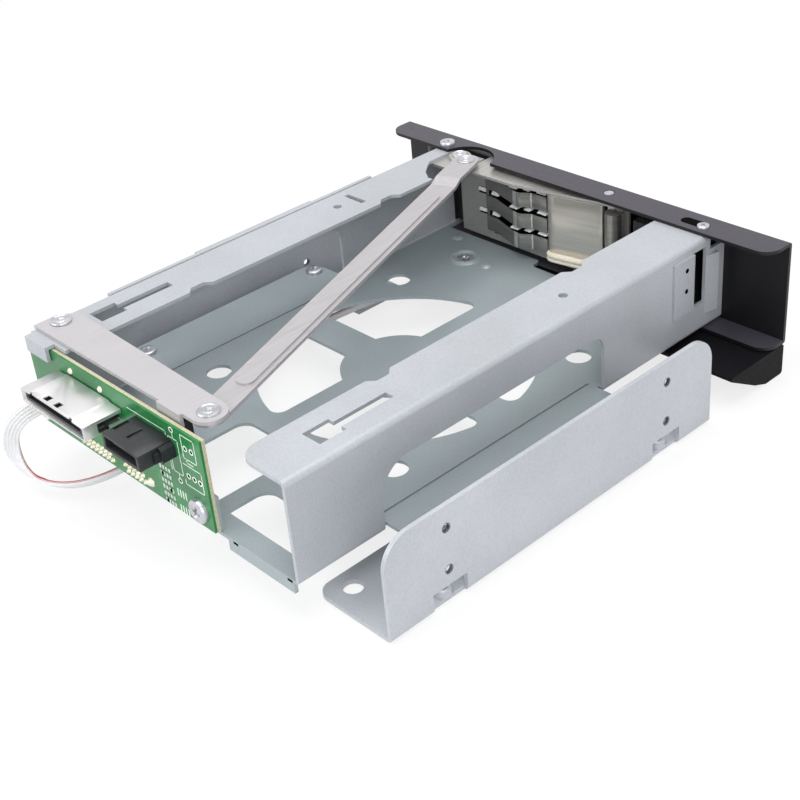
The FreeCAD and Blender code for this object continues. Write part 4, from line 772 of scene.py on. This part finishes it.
# folded tin shell of the power socket, its black core, and the moulded data socket
powerWindows, powerNotches = ((26.0, 28.2), (21.2, 23.4)), ((32.4, 33.5), (13.9, 15.2))
powerSocket = {
    "shell": [("Y", [(9.2, 30.2), (9.2, 34.2), (13.8, 34.4), (14.2, 34.8), (33.6, 34.8), (34.0, 34.4),
                     (38.2, 34.2), (38.2, 30.2)], 156.3, 167.4)],
    "inside": [("Y", [(9.65, 30.65), (9.65, 33.8), (13.9, 33.95), (14.4, 34.35), (33.4, 34.35),
                      (33.9, 33.95), (37.75, 33.8), (37.75, 30.65)], 155.0, 169.0)],
    "windows": [("Z", rect(left, right, 164.9, 166.8), 34.0, 36.0) for left, right in powerWindows],
    "notches": [("Z", rect(left, right, 166.9, 169.0), 34.0, 36.0) for left, right in powerNotches],
    "sideGaps": [("X", rect(155.0, 163.4, 29.0, 33.3), 8.0, 10.4),
                 ("X", rect(155.0, 159.0, 31.2, 33.7), 36.0, 40.0)],
    "core": [("Y", rect(11.4, 37.5, 30.9, 33.9), 156.0, 166.6)],
    "mouth": [("Y", rect(12.2, 36.5, 31.5, 33.5), 158.5, 168.0)],
    "tongue": [("Y", rect(13.2, 35.0, 31.9, 32.9), 158.0, 165.9)],
    "clip": [("X", rect(160.2, 163.0, 30.4, 31.0), 9.5, 10.1),
             ("X", rect(160.2, 160.9, 30.4, 33.2), 9.5, 10.1)],
    "leaves": [((13.4 + 1.42 * (k + 0.5), 162.6, 31.85), rearwards) for k in range(15)]}
dataSocket = {
    "outline": [("Y", [(3.6, 29.8), (3.6, 34.4), (3.0, 34.8), (-9.2, 34.8), (-11.6, 34.1), (-11.6, 29.8)],
                 156.0, 165.6)],
    "inside": [("Y", [(2.5, 30.8), (2.5, 33.9), (-8.9, 33.9), (-10.5, 33.3), (-10.5, 30.8)], 158.5, 167.0)],
    "grooves": [("Z", rect(1.7, 2.7, 158.4, 162.8), 34.25, 36.0),
                ("Z", rect(-4.0, -3.0, 158.4, 162.8), 34.25, 36.0)],
    "tongue": [("Y", rect(-8.8, 1.0, 31.9, 32.8), 158.0, 164.4),
               ("Y", rect(0.2, 1.0, 32.5, 33.9), 158.0, 164.4)],
    "ear": [("Y", [(-11.0, 29.9), (-12.9, 29.9), (-12.9, 33.2), (-12.2, 33.9), (-10.8, 33.9)], 156.0, 160.0),
            ("Y", rect(-12.3, -11.5, 30.3, 33.0), 159.8, 161.6)],
    "leaves": [((-8.2 + 1.27 * (k + 0.5), 161.2, 31.95), rearwards) for k in range(7)]}
contactLeaf = {"size": (0.7, 0.16, 5.6), "bevel": 0.04, "seat": -2.8}


def makeSockets():
    carved("powerShell", "shellTin", "cage", powerSocket["shell"], edge=0.1, holes=powerSocket["inside"]
           + powerSocket["windows"] + powerSocket["notches"] + powerSocket["sideGaps"],
           replaced=["power_socket_shell"])
    carved("powerCore", "socketPbt", "cage", powerSocket["core"], holes=powerSocket["mouth"],
           added=powerSocket["tongue"] + powerSocket["clip"], replaced=["power_socket_tongue"])
    carved("dataHousing", "socketPbt", "cage", dataSocket["outline"],
           holes=dataSocket["inside"] + dataSocket["grooves"], added=dataSocket["tongue"] + dataSocket["ear"],
           replaced=["data_socket"])
    leaf = block("contactLeaf", contactLeaf["size"], contactLeaf["bevel"], contactLeaf["seat"])
    scatter("contactLeaves", powerSocket["leaves"] + dataSocket["leaves"], leaf, "gold", "cage")
    print("sockets made")


makeSockets()

# springs on the door's frame: three kinked fingers, the bowed spring and the pad it rides over
springs = {
    "face": 2.42, "wall": 0.4,
    "finger": [(33.0, 2.95), (29.2, 2.95), (27.8, 3.25), (18.6, 6.2), (17.6, 6.55), (16.6, 6.75), (15.6, 6.7),
               (14.8, 6.4), (12.6, 4.95), (12.0, 4.75), (11.4, 4.75), (6.0, 4.45)],
    "root": (31.9, 33.0, 2.7), "rows": [(16.0, 21.1), (23.2, 28.0), (30.2, 35.0)],
    "slots": [(21.1, 23.2), (28.0, 30.2), (35.0, 36.9)],
    "glints": [(36.3, 33.2, 2.95), (30.4, 27.4, 3.2), (19.6, 16.4, 6.5), (14.6, 12.3, 5.4), (9.8, 6.3, 4.6)],
    "ledge": 1.1, "ledgeWall": 0.1, "ledgeTop": 0.05, "openingSunk": 0.02,
    # dark plates painted as shade: x from, x to, rise, z from, z to
    "openingShadePlates": [(6.0, 30.4, 0.04, 15.4, 36.9), (-16.2, -15.1, 0.04, 16.0, 37.6),
                 (30.0, 36.4, 0.045, 21.1, 23.2), (30.0, 36.4, 0.045, 28.0, 30.2)],
    "bow": [(5.0, 3.0), (4.9, 4.2), (4.6, 5.2), (4.1, 6.0), (3.4, 6.6), (2.5, 6.95), (1.4, 6.95), (0.2, 6.7),
            (-7.0, 5.2), (-13.6, 3.85), (-15.0, 3.5)],
    "bowHeights": (18.9, 38.0),
    "pad": [(4.2, 2.6), (4.4, 5.8), (3.8, 7.4), (2.6, 8.3), (0.8, 8.5), (-6.0, 7.3), (-12.6, 5.9),
            (-14.6, 5.1), (-15.4, 4.0), (-15.6, 2.6)],
    "padLayers": [(16.4, 17.6), (17.75, 18.95)]}


# a strip's outline from the line of its outer face, with the wall laid on the inner side
def stripOutline(line, wall):
    inner = []
    for k, (x, y) in enumerate(line):
        before = line[max(k - 1, 0)]
        after = line[min(k + 1, len(line) - 1)]
        run = math.hypot(after[0] - before[0], after[1] - before[1])
        inner.append((x - (before[1] - after[1]) / run * wall, y + (after[0] - before[0]) / run * wall))
    return line + inner[::-1]


def makeSprings():
    face = springs["face"]
    outline = stripOutline(springs["finger"], springs["wall"])
    fingers = [("Z", outline, low, high) for low, high in springs["rows"]]
    left, right, front = springs["root"]
    root = [("Z", rect(left, right, face, front), springs["rows"][0][0], springs["rows"][-1][1])]
    carved("springFingers", "springStrip", "door", fingers, added=root, edge=0.08,
           replaced=["spring_fingers"])
    outline = stripOutline(springs["bow"], springs["wall"])
    carved("bowedSpring", "bowStrip", "door", [("Z", outline, *springs["bowHeights"])], edge=0.1,
           replaced=["bow_spring"])
    carved("rubPad", "creamNylon", "door", [("Z", springs["pad"], *layer) for layer in springs["padLayers"]],
           edge=0.5, replaced=["rub_pad"])
    # thin dark plates where the frame is open behind the springs, in its slots and in the gap beside the bow:
    # painted shade, with the black door panel seen through; and thin near-white ledges in the slots as a
    # painted glint
    openingShadePlates = [("Z", rect(left, right, face - springs["openingSunk"], face + rise), low, high)
                for left, right, rise, low, high in springs["openingShadePlates"]]
    newObject("frameOpenings", solidsMesh("frameOpenings", openingShadePlates), "darkHole", "door")
    # painted glint: thin near-white ledges near the top of each slot
    ledges = []
    for _, high in springs["slots"]:
        upper = high - springs["ledge"]
        lower = upper - springs["ledgeWall"]
        ledges += [("X", [(face, high - springs["ledgeTop"]), (depth, upper), (depth, lower), (face, lower)],
                    right, left) for left, right, depth in springs["glints"]]
    newObject("frameWebs", solidsMesh("frameWebs", ledges), "glintWhite", "door")
    print("springs made")


makeSprings()

# small pressed and punched marks on the sheets
marks = {
    "dish": [(5.6, -0.02), (5.0, 0.4), (4.2, 0.62), (3.6, 0.45), (3.0, -0.02)],
    "dome": [(2.1, -0.02), (1.6, 0.4), (0.9, 0.66), (0.0, 0.74)],
    "punched": [(0.75, -0.02), (0.7, 0.03), (0.0, 0.03)],
    "thread": [(1.34, 0.02), (1.22, 0.02), (0.98, -0.1), (1.22, -0.24), (0.98, -0.38), (1.22, -0.52),
               (0.98, -0.66), (1.22, -0.8), (0.98, -0.92), (1.34, -0.98)],
    "dishes": [((x, 16.1, 12.0), upwards) for x in (30.6, -30.6)],
    "domes": [((42.4, 7.4, 12.0), upwards), ((21.4, 16.1, 12.0), upwards)],
    "padHoles": [((-53.6, y, z), (-1, 0, 0)) for y, z in ((14.0, 33.5), (14.1, 27.2))],
    "threads": [((side * 73.0, y, z), (side, 0, 0)) for side in (-1, 1) for y in (47.4, 126.64)
                for z in (10.03, 21.84)],
    "lipSlits": [("Y", rect(x - 0.9, x + 0.9, 10.9, 11.6), 154.38, 154.43) for x in (-29.4, -49.6)]}


def makeMarks():
    scatterTurned({
        "pressedDishes": ("pressedDish", marks["dish"], 40, "floorSheet", marks["dishes"]),
        "pressedDomes": ("pressedDome", marks["dome"], 28, "floorSheet", marks["domes"]),
        # painted shade: near-black discs in the punched holes on the rail's outer face
        "padHoles": ("punchedHole", marks["punched"], 18, "darkHole", marks["padHoles"]),
        # thread rings in the tapped holes: bare steel with painted shade
        "cutThreads": ("cutThread", marks["thread"], 24, "shadedThreadSteel", marks["threads"])})
    # painted shade: thin dark plates for the slits in the floor's rear lip
    newObject("lipSlits", solidsMesh("lipSlits", marks["lipSlits"]), "darkHole", "cage")
    print("pressed marks made")


makeMarks()

# ports in the side brackets' feet: taller than the solids', so that the tapped collar inside is seen
ports = {"brackets": {"portedBracketLeft": ("side_bracket_left", 1),
                      "portedBracketRight": ("side_bracket_right", -1)},
         "places": [47.4, 126.64], "wall": (71.7, 73.3), "half": 5.5, "heights": (-0.5, 5.6),
         "clear": (67.3, 73.3), "clearHalf": 2.45, "clearHeights": (1.25, 4.6), "collarPlace": (69.85, 1.22),
         "collar": [(1.3, 0.0), (2.3, 0.0), (2.3, 1.9), (2.15, 2.15), (1.9, 2.25), (1.55, 2.2), (1.3, 1.95),
                    (1.3, 0.0)]}


def makePorts():
    collars = []
    across, height = ports["collarPlace"]
    for name, (label, side) in ports["brackets"].items():
        plate = newObject(name + "Plate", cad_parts[label].data.copy(), None, None)
        boxes = []
        for y in ports["places"]:
            for depth, half, heights in ((ports["wall"], ports["half"], ports["heights"]),
                                         (ports["clear"], ports["clearHalf"], ports["clearHeights"])):
                boxes.append(("X", rect(y - half, y + half, *heights), *sorted(side * x for x in depth)))
            collars.append(((side * across, y, height), upwards))
        cutter = newObject(name + "Cutter", solidsMesh(name + "Cutter", boxes), None, None)
        cutAway(plate, cutter)
        mesh = evaluatedMesh(plate, name)
        for helper in (plate, cutter):
            bpy.data.objects.remove(helper)
        smoothByAngle(mesh)
        standsFor(newObject(name, mesh, "bracketSheet", "cage"), [label])
    scatter("tappedCollars", collars, lathe("tappedCollar", ports["collar"]), "bracketSheet", "cage")
    print("ports made")


makePorts()

# what shows on the bezel's top flange: a flush rivet, and a flat dark patch beside the right screw, painted
# as the shade of a recess
bezelMarks = {"rivet": [(1.58, -1.6), (1.58, -0.25), (1.4, -0.05), (0.8, 0.0), (0.0, 0.02)],
              "rivetPlace": (-14.9, 0.3, 41.0), "recess": (-46.0, 1.5), "recessHalves": (4.0, 1.7),
              "recessHeights": (40.98, 41.03)}


def makeBezelMarks():
    scatterTurned({"bezelRivet": ("flushRivet", bezelMarks["rivet"], 32, "zinc",
                                  [(bezelMarks["rivetPlace"], upwards)])})
    x, y = bezelMarks["recess"]
    long, wide = bezelMarks["recessHalves"]
    angles = [math.pi * (k + 0.5) / 16 for k in range(32)]
    outline = [(x + (long - wide) * (1 if math.cos(angle) > 0 else -1) + wide * math.cos(angle),
                y + wide * math.sin(angle)) for angle in angles]
    # painted shade: a flat near-black oval laid on the top face
    recess = solidsMesh("screwRecess", [("Z", outline, *bezelMarks["recessHeights"])])
    newObject("screwRecess", recess, "darkHole", "cage")
    print("bezel marks made")


makeBezelMarks()


# floor, light and background, in metres; each lamp has its place, what it points at, its size and power
stage = {"floor": "#f4f4f4", "floorSide": 4.0, "floorHeight": -0.0004, "glowFrom": (0.3, 0.78),
         "glowTo": (0.7, 1.0), "room": "#f3f5f8", "roomStrength": 0.62,
         "lamps": {"overhead": ((0.0, 0.1, 0.75), (0, 0.05, 0), 0.7, 4.2),
                   "cameraSide": ((-0.7, 0.5, 0.45), (0, 0.05, 0.01), 0.5, 3.0),
                   "frontFill": ((0.35, 0.75, 0.4), (0, 0.08, 0.01), 0.5, 2.0)}}


# the floor glows to the camera and in mirrors only, more so away from the cage, so that no horizon shows
def makeFloor():
    material = bpy.data.materials.new("paleFloor")
    tree = emptyTree(material)
    output = addNode(tree, "ShaderNodeOutputMaterial")
    diffuse = addNode(tree, "ShaderNodeBsdfDiffuse", values={"Color": toLinear(stage["floor"])})
    glow = addNode(tree, "ShaderNodeEmission", values={"Color": (1, 1, 1, 1), "Strength": 1.0})
    path = addNode(tree, "ShaderNodeLightPath")
    seen = calculate(tree, "MAXIMUM", path.outputs["Is Camera Ray"], path.outputs["Is Glossy Ray"])
    coords = addNode(tree, "ShaderNodeTexCoord").outputs["Object"]
    away = addNode(tree, "ShaderNodeVectorMath", operation="LENGTH", links={0: coords}).outputs["Value"]
    (near, low), (far, high) = stage["glowFrom"], stage["glowTo"]
    glowShare = addNode(tree, "ShaderNodeMapRange", links={"Value": away}, values={
        "From Min": near, "From Max": far, "To Min": low, "To Max": high}).outputs["Result"]
    share = calculate(tree, "MULTIPLY", seen, glowShare)
    mixed = addNode(tree, "ShaderNodeMixShader", links={0: share, 1: diffuse.outputs[0], 2: glow.outputs[0]})
    tree.links.new(mixed.outputs[0], output.inputs[0])
    mesh = bpy.data.meshes.new("floorSheet")
    side, height = stage["floorSide"], stage["floorHeight"]
    corners = [(x, y, height) for x, y in rect(-side, side, -side, side)]
    mesh.from_pydata(corners, [], [(0, 1, 2, 3)])
    mesh.materials.append(material)
    addObject("floorSheet", mesh)


# a pale room lights the cage; the camera, mirrors and clear parts see plain white
def makeRoom():
    world = bpy.data.worlds.new("paleRoom")
    bpy.context.scene.world = world
    tree = emptyTree(world)
    output = addNode(tree, "ShaderNodeOutputWorld")
    path = addNode(tree, "ShaderNodeLightPath").outputs
    room = addNode(tree, "ShaderNodeBackground", values={"Color": toLinear(stage["room"]),
                   "Strength": stage["roomStrength"]})
    white = addNode(tree, "ShaderNodeBackground", values={"Color": (1, 1, 1, 1), "Strength": 1.0})
    direct = calculate(tree, "MAXIMUM", path["Is Camera Ray"], path["Is Transmission Ray"])
    seen = calculate(tree, "MAXIMUM", direct, path["Is Glossy Ray"])
    mixed = addNode(tree, "ShaderNodeMixShader", links={0: seen, 1: room.outputs[0], 2: white.outputs[0]})
    tree.links.new(mixed.outputs[0], output.inputs[0])


def makeStage():
    makeFloor()
    makeRoom()
    for name, (place, aim, size, power) in stage["lamps"].items():
        data = bpy.data.lights.new(name, "AREA")
        data.shape = "SQUARE"
        data.size = size
        data.energy = power
        lamp = addObject(name, data)
        lamp.location = place
        lamp.rotation_euler = (Vector(aim) - Vector(place)).to_track_quat("-Z", "Y").to_euler()
    bpy.context.scene.view_settings.view_transform = "Standard"
    print("stage made")


makeStage()
